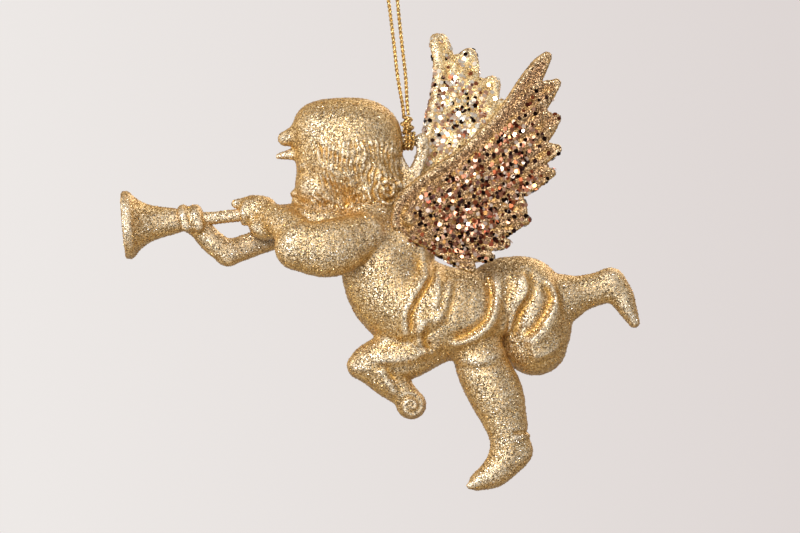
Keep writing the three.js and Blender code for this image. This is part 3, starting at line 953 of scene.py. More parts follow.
# ---------------------------------------- scattered flakes
@dataclass(frozen=True)
class FlakeScatter:
    """Flat six-sided flakes strewn over a surface by Geometry Nodes."""

    label: str
    width: float
    thickness: float
    per_square_mm: float
    lean: float
    lift: float
    seed: int
    bevelled: bool = False
    size_range: Span = (0.75, 1.15)  # the smallest and the largest flake, against the width

    def flake(self) -> bpy.types.Object:
        """One flake of unit width, lying flat: a plate, or for the finest grains a double pyramid.

        Returns:
            The flake.
        """
        half = self.thickness / self.width / 2
        ring = [(0.5 * math.cos(a), 0.5 * math.sin(a)) for a in (math.tau * k / 6 for k in range(6))]
        if self.bevelled:
            verts = [(x, y, 0.0) for x, y in ring] + [(0, 0, half), (0, 0, -half)]
            faces = [(k, (k + 1) % 6, 6) for k in range(6)] + [((k + 1) % 6, k, 7) for k in range(6)]
        else:
            verts = [(x, y, half) for x, y in ring] + [(x, y, -half) for x, y in ring]
            faces = [tuple(range(6)), tuple(reversed(range(6, 12)))]
            faces += [(k + 6, (k + 1) % 6 + 6, (k + 1) % 6, k) for k in range(6)]
        mesh = bpy.data.meshes.new(self.label + "_flake")
        mesh.from_pydata(verts, [], faces)
        return add_object(self.label + "_flake", mesh)

    def tree(self, finish: bpy.types.Material) -> bpy.types.GeometryNodeTree:
        """The node tree: points on the faces, a flake on each, turned and tinted at random.

        Args:
            finish: The flakes' material.

        Returns:
            The node tree.
        """
        group = bpy.data.node_groups.new(self.label, "GeometryNodeTree")
        face = group.interface
        face.new_socket("Geometry", in_out="INPUT", socket_type="NodeSocketGeometry")
        face.new_socket("Flake", in_out="INPUT", socket_type="NodeSocketObject")
        for label in ("Density", "Width", "Lean", "Lift"):
            face.new_socket(label, in_out="INPUT", socket_type="NodeSocketFloat")
        face.new_socket("Seed", in_out="INPUT", socket_type="NodeSocketInt")
        face.new_socket("Geometry", in_out="OUTPUT", socket_type="NodeSocketGeometry")
        nodes = NodeTree(group)
        inputs = nodes.add("NodeGroupInput")
        cover = nodes.add("GeometryNodeInputNamedAttribute", data_type="FLOAT")
        cover.inputs["Name"].default_value = "cover"
        density = nodes.add("ShaderNodeMath", operation="MULTIPLY")
        nodes.join(inputs.outputs["Density"], density.inputs[0])
        nodes.join(cover.outputs["Attribute"], density.inputs[1])
        points = nodes.add("GeometryNodeDistributePointsOnFaces", distribute_method="RANDOM")
        nodes.join(inputs.outputs["Geometry"], points.inputs["Mesh"])
        nodes.join(density.outputs[0], points.inputs["Density"])
        nodes.join(inputs.outputs["Seed"], points.inputs["Seed"])
        raised = nodes.add("ShaderNodeVectorMath", operation="SCALE")
        nodes.join(points.outputs["Normal"], raised.inputs[0])
        nodes.join(inputs.outputs["Lift"], raised.inputs["Scale"])
        moved = nodes.add("GeometryNodeSetPosition")
        nodes.join(points.outputs["Points"], moved.inputs["Geometry"])
        nodes.join(raised.outputs["Vector"], moved.inputs["Offset"])
        swing = self._random(nodes, "FLOAT_VECTOR", 11)
        most = nodes.add("ShaderNodeCombineXYZ")
        nodes.join(inputs.outputs["Lean"], most.inputs[0])
        nodes.join(inputs.outputs["Lean"], most.inputs[1])
        most.inputs[2].default_value = math.pi
        least = nodes.vector_math("MULTIPLY", most.outputs[0], (-1.0, -1.0, -1.0))
        nodes.join(least, swing.inputs["Min"])
        nodes.join(most.outputs[0], swing.inputs["Max"])
        turn = nodes.add("FunctionNodeEulerToRotation")
        nodes.join(swing.outputs["Value"], turn.inputs[0])
        turned = nodes.add("FunctionNodeRotateRotation", rotation_space="LOCAL")
        nodes.join(points.outputs["Rotation"], turned.inputs["Rotation"])
        nodes.join(turn.outputs[0], turned.inputs["Rotate By"])
        size = self._random(nodes, "FLOAT", 12)
        size.inputs[2].default_value, size.inputs[3].default_value = self.size_range
        scale = nodes.add("ShaderNodeMath", operation="MULTIPLY")
        nodes.join(size.outputs[1], scale.inputs[0])
        nodes.join(inputs.outputs["Width"], scale.inputs[1])
        shape = nodes.add("GeometryNodeObjectInfo")
        nodes.join(inputs.outputs["Flake"], shape.inputs["Object"])
        strewn = nodes.add("GeometryNodeInstanceOnPoints")
        nodes.join(moved.outputs["Geometry"], strewn.inputs["Points"])
        nodes.join(shape.outputs["Geometry"], strewn.inputs["Instance"])
        nodes.join(turned.outputs["Rotation"], strewn.inputs["Rotation"])
        nodes.join(scale.outputs[0], strewn.inputs["Scale"])
        tone = self._random(nodes, "FLOAT", 13)
        stored = nodes.add("GeometryNodeStoreNamedAttribute", data_type="FLOAT", domain="INSTANCE")
        stored.inputs["Name"].default_value = "tone"
        nodes.join(strewn.outputs["Instances"], stored.inputs["Geometry"])
        nodes.join(tone.outputs[1], stored.inputs["Value"])
        real = nodes.add("GeometryNodeRealizeInstances")
        nodes.join(stored.outputs["Geometry"], real.inputs["Geometry"])
        painted = nodes.add("GeometryNodeSetMaterial")
        painted.inputs["Material"].default_value = finish
        nodes.join(real.outputs["Geometry"], painted.inputs["Geometry"])
        end = nodes.add("NodeGroupOutput")
        nodes.join(painted.outputs["Geometry"], end.inputs["Geometry"])
        return group

    def _random(self, nodes: NodeTree, data_type: str, offset: int) -> bpy.types.Node:
        """A random value node with its own fixed seed.

        Args:
            nodes: The tree that takes it.
            data_type: What it draws.
            offset: What parts its seed from the others.

        Returns:
            The node.
        """
        node = nodes.add("FunctionNodeRandomValue", data_type=data_type)
        node.inputs["Seed"].default_value = self.seed * 20 + offset
        return node

    def strew(self, name: str, surface: bpy.types.Object, finish: bpy.types.Material) -> bpy.types.Object:
        """Flakes over one surface.

        Args:
            name: The new piece's name.
            surface: The mesh that they lie on, with a cover attribute from 0 to 1.
            finish: The flakes' material.

        Returns:
            A plain mesh object.
        """
        flake = self.flake()
        carrier = add_object(name + "_carrier", surface.data)
        group = self.tree(finish)
        modifier = carrier.modifiers.new("flakes", "NODES")
        modifier.node_group = group
        values = {
            "Flake": flake,
            "Density": self.per_square_mm / (MM * MM),
            "Width": self.width * MM,
            "Lean": self.lean,
            "Lift": self.lift * MM,
            "Seed": self.seed,
        }
        for item in group.interface.items_tree:
            if item.in_out == "INPUT" and item.name in values:
                modifier[item.identifier] = values[item.name]
        graph = bpy.context.evaluated_depsgraph_get()
        mesh = bpy.data.meshes.new_from_object(carrier.evaluated_get(graph), depsgraph=graph)
        carrier.modifiers.remove(modifier)
        for spare in (carrier, flake):
            bpy.data.objects.remove(spare)
        bpy.data.node_groups.remove(group)
        mesh.name = name
        if not mesh.materials:
            mesh.materials.append(finish)
        mesh.polygons.foreach_set("use_smooth", np.zeros(len(mesh.polygons), bool))
        return add_object(name, mesh)


# ---------------------------------------- the sculpture
@dataclass(frozen=True)
class Fold:
    """A fold of cloth in the side view: gentle on one side of its line and steep on the other."""

    points: tuple[Flat, ...]
    height: float = 1.2
    gentle: float = 3.2
    steep: float = 0.9
    steep_side: float = 1.0

    def lift(self, x: Array, z: Array) -> Array:
        """How far the fold lifts the surface at each place, in millimetres.

        Args:
            x: Places along the flight line.
            z: Places upwards.

        Returns:
            The lift, in millimetres.
        """
        gap, along, side = distance_to_line(x, z, curve_through(np.array(self.points), 4))
        fade = ramp(along, 0.0, 0.16) * ramp(along, 1.0, 0.84)
        drop = side * self.steep_side > 0
        swell = np.exp(-((gap / np.where(drop, self.steep, self.gentle)) ** 2))
        foot = np.where(drop, np.exp(-(((gap - 2.1 * self.steep) / self.steep) ** 2)), 0.0)
        return self.height * (swell - 0.55 * foot) * fade


@dataclass
class Sculpture:
    """Everything that shapes the castings; a casting's own forms part it from its neighbours."""

    step: float
    forms: dict[Casting, list[tuple[Form, float]]] = field(default_factory=dict)
    carves: list[Callable[[Casting, Grid, Array], Array]] = field(default_factory=list)

    def add(self, casting: Casting, fillet: float, *forms: Form) -> None:
        """Gives a casting more forms, each of which joins what is there with a fillet."""
        self.forms.setdefault(casting, []).extend((form, fillet) for form in forms)

    def box(self, casting: Casting) -> tuple[Array, Array]:
        """The box round a casting's forms."""
        corners = [form.box() for form, _ in self.forms[casting]]
        return np.min([c[0] for c in corners], axis=0), np.max([c[1] for c in corners], axis=0)

    def own_field(self, casting: Casting, grid: Grid) -> Array:
        """A casting's own field on a grid.

        Args:
            casting: The casting.
            grid: The lattice block.

        Returns:
            The field there, negative inside.
        """
        out = np.full(grid.shape, FAR)
        for form, fillet in self.forms[casting]:
            form.add_to(grid, out, fillet)
        return out

    def mesh(self, casting: Casting, neighbours: Sequence[Casting], seam: float = 1.1) -> tuple[Array, Array]:
        """Meshes one casting, blended with its neighbours and parted from them.

        Args:
            casting: The casting to mesh.
            neighbours: The castings that it meets.
            seam: The fillet between castings, in millimetres.

        Returns:
            Points in figure millimetres, and quads.
        """
        low, high = self.box(casting)
        grid = Grid.around(low, high, self.step)
        own = self.own_field(casting, grid)
        whole = own.copy()
        nearest = np.full(grid.shape, FAR)
        for other in neighbours:
            field_there = self.own_field(other, grid)
            nearest = np.minimum(nearest, field_there)
            whole = blend(whole, field_there, seam)
        for carve in self.carves:
            whole = carve(casting, grid, whole)
        part = np.maximum(whole, (own - nearest) * 0.5 - SEAM_OVERLAP) if neighbours else whole
        part = np.maximum(part, own - BLEND_LIMIT)
        part[[0, -1], :, :] = part[:, [0, -1], :] = 1.0
        part[:, :, [0, -1]] = 1.0
        part = np.where(np.abs(part) < OFF_SURFACE, OFF_SURFACE, part)
        return surface_net(part, grid)


@dataclass(frozen=True)
class Head:
    """The cherub's head: a smooth crown over wavy hair, a forelock, a small nose and pursed lips."""

    crown_x: float = -15.5  # the strands fan out from here
    strands: int = 56
    strand_depth: float = 0.36
    lock_depth: float = 0.28
    hair_edge: float = 1.2  # the smooth crown's lower edge
    face: Flat = (-27.5, -8.2)
    curl: Flat = (-5.4, -12.6)  # the curl behind the ear
    curl_depth: float = 0.35

    def build(self, sculpture: Sculpture) -> None:
        """Adds the head's forms and its hair.

        Args:
            sculpture: The sculpture that takes the forms.
        """
        sculpture.add(
            Casting.HEAD,
            3.0,
            Blob((-15.5, 0, -3.4), (13.0, 11.2, 13.0)),
            Blob((-21.0, 0, 2.8), (7.1, 9.0, 6.9)),
            Blob((-23.2, 0, 3.6), (5.2, 6.6, 5.4)),
            Blob((-16.0, 0, 2.9), (8.4, 8.8, 7.2)),
            Blob((-11.0, 0, 1.2), (9.0, 9.8, 8.7)),
        )
        sculpture.add(
            Casting.HEAD,
            1.6,
            Blob((-9.4, 0, -10.4), (8.0, 9.0, 8.8)),
            Blob((-20.7, 0, -11.2), (7.8, 7.6, 7.3)),
            Blob((-20.0, 0, -15.2), (8.2, 6.4, 4.0)),
            Blob((-23.6, -4.2, -12.0), (4.0, 3.6, 3.9)),
            Blob((-23.6, 4.2, -12.0), (4.0, 3.6, 3.9)),
            Limb([(-26, 0, 1.6, 3, 4), (-28.6, 0, 1.2, 2.4, 3), (-30.9, 0, 0.6, 1.9, 2)]),
            Limb([(-14, 0, -14, 5, 5.4), (-12, 0, -18.5, 4.8, 5.2), (-10.4, 0, -22.5, 4, 4.4)]),
        )
        sculpture.add(
            Casting.HEAD,
            0.8,
            Limb([(-26, 0, -3.2, 2.2), (-29, 0, -3.3, 1.5), (-32.6, 0, -3.8, 0.75)]),
            Blob((-27.9, 0, -13.2), (1.8, 2.6, 1.2)),
            Blob((-27.6, 0, -15.2), (1.8, 2.4, 1.3)),
            Blob((-26.0, -4.4, -6.2), (1.3, 1.9, 1.3)),
            Blob((-26.0, 4.4, -6.2), (1.3, 1.9, 1.3)),
        )
        sculpture.carves.append(self._hair)

    def _hair(self, casting: Casting, grid: Grid, whole: Array) -> Array:
        """Wavy strands down the sides and the back, below the smooth crown.

        Args:
            casting: The casting that is meshed.
            grid: Its lattice block.
            whole: Its field so far.

        Returns:
            The field with the hair.
        """
        if casting is not Casting.HEAD:
            return whole
        x, y, z = grid.everywhere()
        around = np.arctan2(np.abs(y), self.crown_x - x)
        sway = 0.34 * np.sin(0.62 * z + 2.2 * np.sin(3.1 * around) + 1.0)
        sway += 0.12 * np.sin(1.5 * z - 5.0 * around)
        strand = self.strands / math.tau * around + sway + 0.06 * z
        rows = np.cos(2 * np.pi * strand) * (0.75 + 0.35 * np.sin(0.9 * z + 4.3 * around))
        lock = 0.6 * np.cos(2 * np.pi * (strand / 3.3 + 0.03 * z)) + 0.40 * np.sin(0.75 * z + 6.0 * around)
        lock += 0.35 * np.sin(2.3 * z + 3.0 * np.sin(5.0 * around))
        face = ramp(np.hypot(x - self.face[0], (z - self.face[1]) / 1.6), 4.4, 5.8)
        below_crown = ramp(z, self.hair_edge, self.hair_edge - 2.4)
        where = below_crown * face * ramp(z, -19.0, -16.5) * ramp(x, -25.4, -23.6)
        hair = whole - where * (0.20 + self.strand_depth * rows + self.lock_depth * lock)
        curls = ramp(np.hypot(x + 4.5, z + 13.5), 6.5, 4.5)
        dx, dz = x - self.curl[0], z - self.curl[1]
        spiral = np.cos(2 * np.pi * (np.hypot(dx, dz) / 1.8 - 0.16 * np.arctan2(dz, dx)))
        return hair - curls * where * self.curl_depth * spiral


@dataclass(frozen=True)
class Torso:
    """The trunk, the far shoulder and the folds round the waist."""

    def build(self, sculpture: Sculpture) -> None:
        """Adds the trunk's forms.

        Args:
            sculpture: The sculpture that takes the forms.
        """
        sculpture.add(
            Casting.TORSO,
            1.6,
            Limb.beside(
                0,
                (-9.2, -20.2, 7.2, 9.4),
                (-7, -28, 10.4, 10.8),
                (-3.4, -37.4, 11.7, 11.2),
                (5, -42.6, 12.2, 11.6),
                (14, -43.2, 11, 10.4),
            ),
            Blob((-1, 0, -25.4), (8, 9.4, 8.2)),
            Limb(
                [
                    (-12, 0, -21.5, 4.6, 8),
                    (-20, -1, -20.4, 4.6, 7.4),
                    (-27, -2, -19.6, 3.8, 5.6),
                    (-31, -2, -18.8, 2.8, 4),
                ]
            ),
        )


@dataclass(frozen=True)
class Arms:
    """The near arm, which steadies the mouthpiece, and the far arm, whose fingers close over the tube."""

    def build(self, sculpture: Sculpture) -> None:
        """Adds both arms.

        Args:
            sculpture: The sculpture that takes the forms.
        """
        sculpture.add(
            Casting.NEAR_ARM,
            1.0,
            Limb(
                [
                    (-10.6, -8.2, -23.4, 5.4, 4.6),
                    (-19.4, -11.4, -26.8, 7.2, 5.6),
                    (-27.6, -12.2, -26.6, 5.8, 5),
                ]
            ),
            Limb(
                [
                    (-27.4, -11.4, -24.6, 5.2, 4.6),
                    (-31, -7.8, -20.9, 4.2, 3.8),
                    (-35.4, -2.8, -18.2, 3, 2.8),
                ]
            ),
            Blob((-37.7, -0.6, -17.1), (5.0, 3.7, 3.5)),
            Blob((-35.6, -2.4, -21.4), (4.4, 3.6, 3.4)),
            Limb([(-39.5, -0.4, -15.2, 1.4), (-41.8, -0.2, -15.6, 1.3), (-43.4, 0, -15.7, 1.1)]),
            *(
                Limb([(x, -2.6, -16.0, 1.15), (x - 0.7, -3.3, -18.0, 1.15), (x - 0.6, -2.0, -20.2, 1.0)])
                for x in (-36.4, -38.5, -40.5)
            ),
        )
        sculpture.add(
            Casting.FAR_ARM,
            1.0,
            Limb(
                [
                    (-12, 7.4, -22.4, 5, 4.4),
                    (-22, 7.6, -22.8, 4.3, 4.2),
                    (-32, 5.4, -23.6, 3.1, 3.1),
                    (-45.2, 1.8, -28.0, 3.2, 3),
                ]
            ),
            Limb([(-45.4, 1.6, -28, 3.1, 2.9), (-49.2, 0.8, -25.2, 3, 2.8), (-52.4, 0.2, -21.6, 2.8, 2.8)]),
            Blob((-54.2, 0, -19.8), (3.2, 3.6, 3.4)),
            *(
                Limb(
                    [
                        (x + 0.9, -3.0, -21.4, 1.3),
                        (x, -2.7, -18.6, 1.35),
                        (x, 0.2, -17.2, 1.35),
                        (x, 2.6, -18.6, 1.2),
                    ]
                )
                for x in (-56.6, -53.4)
            ),
        )


@dataclass(frozen=True)
class Trumpet:
    """The long trumpet: a thin tube, a throat that opens in a smooth flare, and a rolled lip."""

    mouth: Point = (-71.5, 0.0, -21.1)
    rise: float = 0.085
    length: float = 15.6
    tube: float = 1.6
    throat: float = 2.5
    lip: float = 8.3
    wall: float = 1.0
    hollow: float = 7.5

    def build(self, sculpture: Sculpture) -> None:
        """Adds the trumpet's forms and its bell's hollow.

        Args:
            sculpture: The sculpture that takes the forms.
        """
        axis = Vector((1, 0, self.rise)).normalized()
        sculpture.add(
            Casting.TRUMPET,
            0.5,
            Turned(self.mouth, axis, self.length, self.lip, self._bell),
            Limb.beside(
                0,
                (-57.0, -19.9, self.throat),
                (-53.0, -19.6, 1.9),
                (-49, -19.3, self.tube),
                (-43, -18.6, self.tube),
                (-36, -17.8, self.tube),
                (-28.6, -17.2, self.tube),
            ),
        )

    def _bell(self, along: Array, away: Array) -> Array:
        """The field of the bell, with its hollow and its rolled lip.

        Args:
            along: How far from the mouth.
            away: How far from the axis.

        Returns:
            The field there, negative inside.
        """
        depth = np.array([0.4, 2.2, 3.0, 4.2, 5.4, 7.2, 9.4, 12.6, 15.6])
        outer = np.interp(along, depth, [8.4, 8.0, 7.2, 6.1, 5.3, 4.5, 3.9, 3.3, 2.6])
        inner_depth = np.array([0.0, 1.9, 4.1, 6.4, 7.5])
        inner_share = np.array([1.0, 0.70, 0.50, 0.36, 0.0])
        inner = (self.lip - self.wall) * np.interp(along, inner_depth, inner_share)
        slope = np.interp(along, [0.3, 3.0, 6.0, 12.0], [0.78, 0.74, 0.90, 0.99])
        wall = (away - outer) * slope
        hollow = np.where(along < self.hollow, (away - inner) * slope, FAR)
        hollow = np.where(along < 0, -FAR, hollow)
        solid = np.maximum(np.maximum(wall, -along), along - self.length)
        solid = np.maximum(solid, -np.maximum(hollow, along - self.hollow))
        lip = np.hypot(away - self.lip + 1.05, along - 1.25) - 1.25
        return blend(solid, lip, 0.5)


@dataclass(frozen=True)
class Legs:
    """The standing leg with its drape, its foot on tiptoe, and the leg that trails behind."""

    crease: Flat = (26.0, -73.1)
    crease_depth: float = 0.5
    crease_lip: float = 0.25

    def build(self, sculpture: Sculpture) -> None:
        """Adds both legs and the foot.

        Args:
            sculpture: The sculpture that takes the forms.
        """
        sculpture.add(
            Casting.STANDING_LEG,
            1.2,
            Limb.beside(
                STANDING_Y,
                (16, -47, 6, 5.8),
                (18.2, -56, 6.6, 6.4),
                (21.8, -63.4, 6.8, 6.4),
                (24.2, -70.4, 5.1, 5),
            ),
            Limb.beside(STANDING_Y, (24.2, -70.4, 5.1, 5), (25.1, -73.6, 4.6, 4.5)),
        )
        sculpture.add(
            Casting.STANDING_FOOT,
            1.0,
            Limb.beside(STANDING_Y, (25.1, -74.6, 4.7, 4.5), (25, -77.8, 4.8, 4.3)),
            Limb.beside(STANDING_Y, (25, -78.8, 4.6, 4.3), (21.4, -82.9, 3.7, 4.2), (17.4, -85.1, 2.3, 3.3)),
            Blob((27.4, STANDING_Y, -77.4), (3.6, 3.5, 3.7)),
            *(
                Blob((15.4 + 0.45 * k, STANDING_Y - 2.6 + 1.3 * k, -86.1 + 0.1 * k), (1.1, 0.72, 0.95))
                for k in range(5)
            ),
        )
        sculpture.carves.append(self._crease)
        sculpture.add(
            Casting.TRAILING_LEG,
            1.2,
            Limb.beside(
                TRAILING_Y,
                (29, -43, 6.6, 6.2),
                (36.6, -40.2, 6.6, 6),
                (43, -38.2, 4.5, 4.4),
                (50.2, -36.2, 4, 3.8),
            ),
            Limb.beside(
                TRAILING_Y,
                (50.6, -35.3, 3.5, 3.5),
                (53.1, -38.7, 3.2, 3.7),
                (54.9, -42.2, 2.3, 3.2),
                (56.5, -45.4, 1.4, 2.2),
            ),
        )

    def _crease(self, casting: Casting, grid: Grid, whole: Array) -> Array:
        """A short cut across the back of the ankle, with a raised lip under it.

        Args:
            casting: The casting that is meshed.
            grid: Its lattice block.
            whole: Its field so far.

        Returns:
            The field with the cut.
        """
        if casting not in (Casting.STANDING_LEG, Casting.STANDING_FOOT):
            return whole
        x, _, z = grid.everywhere()
        drop = z - (self.crease[1] + 0.12 * (x - self.crease[0]))
        where = ramp(x, self.crease[0] - 0.8, self.crease[0] + 0.8)
        cut = self.crease_depth * np.exp(-((drop / 0.4) ** 2))
        lip = self.crease_lip * np.exp(-(((drop + 1.0) / 0.55) ** 2))
        return whole + where * (cut - lip)


@dataclass(frozen=True)
class Drapery:
    """The cloth: one length sweeps forward to a rolled end, another winds over the back of the hip."""

    folded: tuple[Casting, ...] = (
        Casting.TORSO,
        Casting.FRONT_DRAPE,
        Casting.REAR_DRAPE,
        Casting.STANDING_LEG,
        Casting.TRAILING_LEG,
    )
    folds: tuple[Fold, ...] = (
        Fold(
            ((2.7, -22.7), (4.4, -32.2), (3.2, -35.5), (0.6, -39.8), (-1.0, -44.2), (-0.5, -52.0)),
            height=1.5,
            gentle=1.5,
            steep=0.8,
        ),
        Fold(((7.0, -31.2), (7.4, -37.2), (6.0, -43.0)), 0.8, 1.6, 0.8),
        Fold(((10.2, -33.8), (9.2, -39.8), (7.0, -46.0)), 0.8, 1.8, 0.8),
        Fold(((4.4, -44.0), (2.4, -49.8), (4.4, -54.0)), 1.2, 1.6, 0.8),
        Fold(((21.0, -31.2), (22.2, -39.0), (20.4, -45.6), (15.4, -49.8), (9.0, -51.6)), 1.5, 1.6, 1.0, -1.0),
        Fold(((27.6, -32.2), (29.0, -37.2), (26.0, -42.6), (23.7, -51.0)), 1.7, 2.2, 1.0),
        Fold(((33.6, -33.0), (36.8, -38.2), (36.2, -42.4), (32.4, -48.5), (28.0, -50.6)), 1.5, 2.8, 1, -1),
        Fold(((40.0, -49.0), (36.0, -52.6), (30.0, -55.0)), 1.0, 2.0, 0.9),
        Fold(((-9.0, -50.4), (-3.0, -49.0), (4.0, -46.6), (10.0, -43.4)), 0.5, 2.2, 0.9, -1.0),
        Fold(((-10.0, -54.4), (-4.0, -54.8), (3.0, -53.6), (9.0, -50.4)), 0.5, 1.8, 0.9, -1.0),
        Fold(((-7.4, -56.6), (-5.2, -60.2), (-3.0, -64.0)), 0.6, 1.5, 0.8),
        Fold(((11.5, -54.6), (17.0, -55.2), (22.0, -53.6), (26.0, -50.4)), 0.55, 2.0, 0.9, -1.0),
    )
    fold_depth: float = 0.86
    scroll: Flat = (0.6, -66.2)
    scroll_depth: float = 0.24
    scroll_pitch: float = 1.9

    def build(self, sculpture: Sculpture) -> None:
        """Adds both lengths of cloth, and the folds that cross them.

        Args:
            sculpture: The sculpture that takes the forms.
        """
        sculpture.add(
            Casting.FRONT_DRAPE,
            0.9,
            Limb.beside(
                STANDING_Y,
                (6, -50.6, 5.6, 6),
                (-2, -53.4, 6.7, 6.4),
                (-9, -55.2, 5, 5.6),
                (-12.2, -56.2, 3.3, 4.4),
            ),
            Limb.beside(
                STANDING_Y,
                (-11, -56.6, 3.2, 4.4),
                (-5.6, -59.6, 4.2, 4.6),
                (-1.4, -63.2, 3.4, 3.8),
                (0.2, -65.4, 3.2, 3.7),
            ),
            Blob((0.6, STANDING_Y, -66.0), (3.7, 3.9, 3.6)),
        )
        sculpture.add(
            Casting.REAR_DRAPE,
            1.2,
            Limb([(18.6, 1.6, -38.4, 6.4, 7.8), (24.6, 2.8, -37.4, 8.4, 8.6), (29.4, 3.6, -39, 8.8, 9)]),
            Limb([(28.8, 3.6, -38.2, 9.2, 9.2), (31.2, 4, -44.6, 9.6, 9.4), (31.6, 4, -50.4, 8.3, 8.6)]),
        )
        sculpture.carves.append(self._fold)

    def _fold(self, casting: Casting, grid: Grid, whole: Array) -> Array:
        """Raises the fold lines on the trunk, the cloth and the upper legs.

        Args:
            casting: The casting that is meshed.
            grid: Its lattice block.
            whole: Its field so far.

        Returns:
            The field with the folds.
        """
        if casting not in self.folded:
            return whole
        x, y, z = grid.everywhere()
        lift = sum(fold.lift(x, z) for fold in self.folds)
        folded = whole - self.fold_depth * lift * ramp(np.abs(y - 0.5), 1.0, 5.5)
        if casting is not Casting.FRONT_DRAPE:
            return folded
        dx, dz = x - self.scroll[0], z - self.scroll[1]
        turn = np.hypot(dx, dz) / self.scroll_pitch - np.arctan2(dz, dx) / (2 * np.pi)
        end = ramp(np.hypot(dx, dz), 4.0, 3.2) * ramp(np.abs(y - STANDING_Y), 0.8, 2.0)
        return folded + self.scroll_depth * end * np.cos(2 * np.pi * turn)


@dataclass(frozen=True)
class Wing:
    """A wing: long feathers that overlap like slates, with a rounded ridge along its leading edge."""

    casting: Casting
    front_edge: tuple[Flat, ...]
    tips: tuple[Flat, ...]
    notches: tuple[Flat, ...]
    lower_edge: tuple[Flat, ...]
    root: Flat
    side: float
    root_distance: float
    spread_along: Flat
    thickness: float
    fan: Flat
    notch_depth: float = 1.3
    tip_radius: float = 1.2
    slope: float = 0.42
    slate: float = 0.55  # how much thicker a feather is at its upper edge, as a share
    quill: float = 0.25
    bar: float = 0.30  # the low bars across the feathers
    bar_pitch: float = 6.2
    bare_ridge: Span = (1.8, 4.4)
    crowd: Flat = (15.0, -15.0)
    crowd_reach: Span = (26.0, 11.0)

    def build(self, sculpture: Sculpture) -> None:
        """Adds the wing's sheet, its ridge and its root.

        Args:
            sculpture: The sculpture that takes the forms.
        """
        edge = list(self.front_edge)
        heart = np.array(self.fan)
        for tip, notch in zip(self.tips, self.notches):
            inward = heart - notch
            deeper = notch + inward / np.linalg.norm(inward) * self.notch_depth
            edge += self._feather_end(edge[-1], tip, tuple(deeper))
        edge += self.lower_edge
        outline = np.array(edge)
        thick = np.linspace(0.68, 0.52, len(self.front_edge)) * self.thickness
        ridge = [(x, self._middle(x, z), z, radius) for (x, z), radius in zip(self.front_edge, thick)]
        tip_x, tip_z = self.tips[0]
        ridge.append((tip_x - 0.6, self._middle(tip_x, tip_z), tip_z - 1.0, self.thickness * 0.42))
        root_x, root_z = self.root
        root_y = self.side * (self.root_distance - 3.2)
        sculpture.add(
            self.casting,
            0.8,
            Sheet(outline, self._half, self._middle, 0.7),
            Limb(ridge, 2),
            Limb(
                [
                    (root_x + 1.0, root_y, root_z - 0.6, 2.2),
                    (root_x + 1.4, self._middle(root_x + 1.4, root_z), root_z, 2.0),
                ]
            ),
        )

    def _feather_end(self, last: Flat, tip: Flat, notch: Flat) -> list[Flat]:
        """A rounded feather end, from the last notch round the tip to the next notch.

        Args:
            last: The last notch.
            tip: The feather's tip.
            notch: The next notch.

        Returns:
            The outline's next corners.
        """
        start, point, stop = np.array([last, tip, notch])
        width = np.linalg.norm(stop - start)
        out = point - (start + stop) / 2
        out /= np.linalg.norm(out)
        across = np.array([-out[1], out[0]])
        radius = min(self.tip_radius, 0.36 * width)
        arc = [
            point + radius * ((math.sin(turn) - 1) * out + math.cos(turn) * across)
            for turn in np.linspace(0.1, math.pi - 0.1, 7)
        ]
        lead = start + 0.5 * (arc[0] - start) + 0.07 * width * across
        trail = stop + 0.5 * (arc[-1] - stop) - 0.03 * width * across
        return [tuple(lead), *(tuple(corner) for corner in arc), tuple(trail), notch]

    def _middle(self, x: Array, z: Array) -> Array:
        """How far to the side the wing's middle lies."""
        along = (x - self.root[0]) * self.spread_along[0] + (z - self.root[1]) * self.spread_along[1]
        return self.side * (self.root_distance + self.slope * along)

    def _half(self, x: Array, z: Array) -> Array:
        """Half the wing's thickness: each feather is a slate that dips under the next one.

        Args:
            x: Places along the flight line.
            z: Places upwards.

        Returns:
            Half the thickness, in millimetres.
        """
        gap, _, _ = distance_to_line(x, z, np.array([*self.front_edge, self.tips[0]]))
        angle = np.arctan2(z - self.fan[1], x - self.fan[0])
        first = math.atan2(self.tips[0][1] - self.fan[1], self.tips[0][0] - self.fan[0])
        last = math.atan2(self.notches[-1][1] - self.fan[1], self.notches[-1][0] - self.fan[0])
        place = (angle - first) / (last - first) * len(self.tips)
        slate = place - np.floor(place)
        away = np.hypot(x - self.fan[0], z - self.fan[1])
        quills = self.quill * np.cos(2 * np.pi * 2 * place)
        bars = self.bar * np.cos(2 * np.pi * (away / self.bar_pitch + 0.35 * place))
        texture = self.slate * (0.5 - slate) + quills + bars
        return self.thickness / 2 * (0.92 + 0.50 * texture * ramp(gap, 1.0, 3.0))


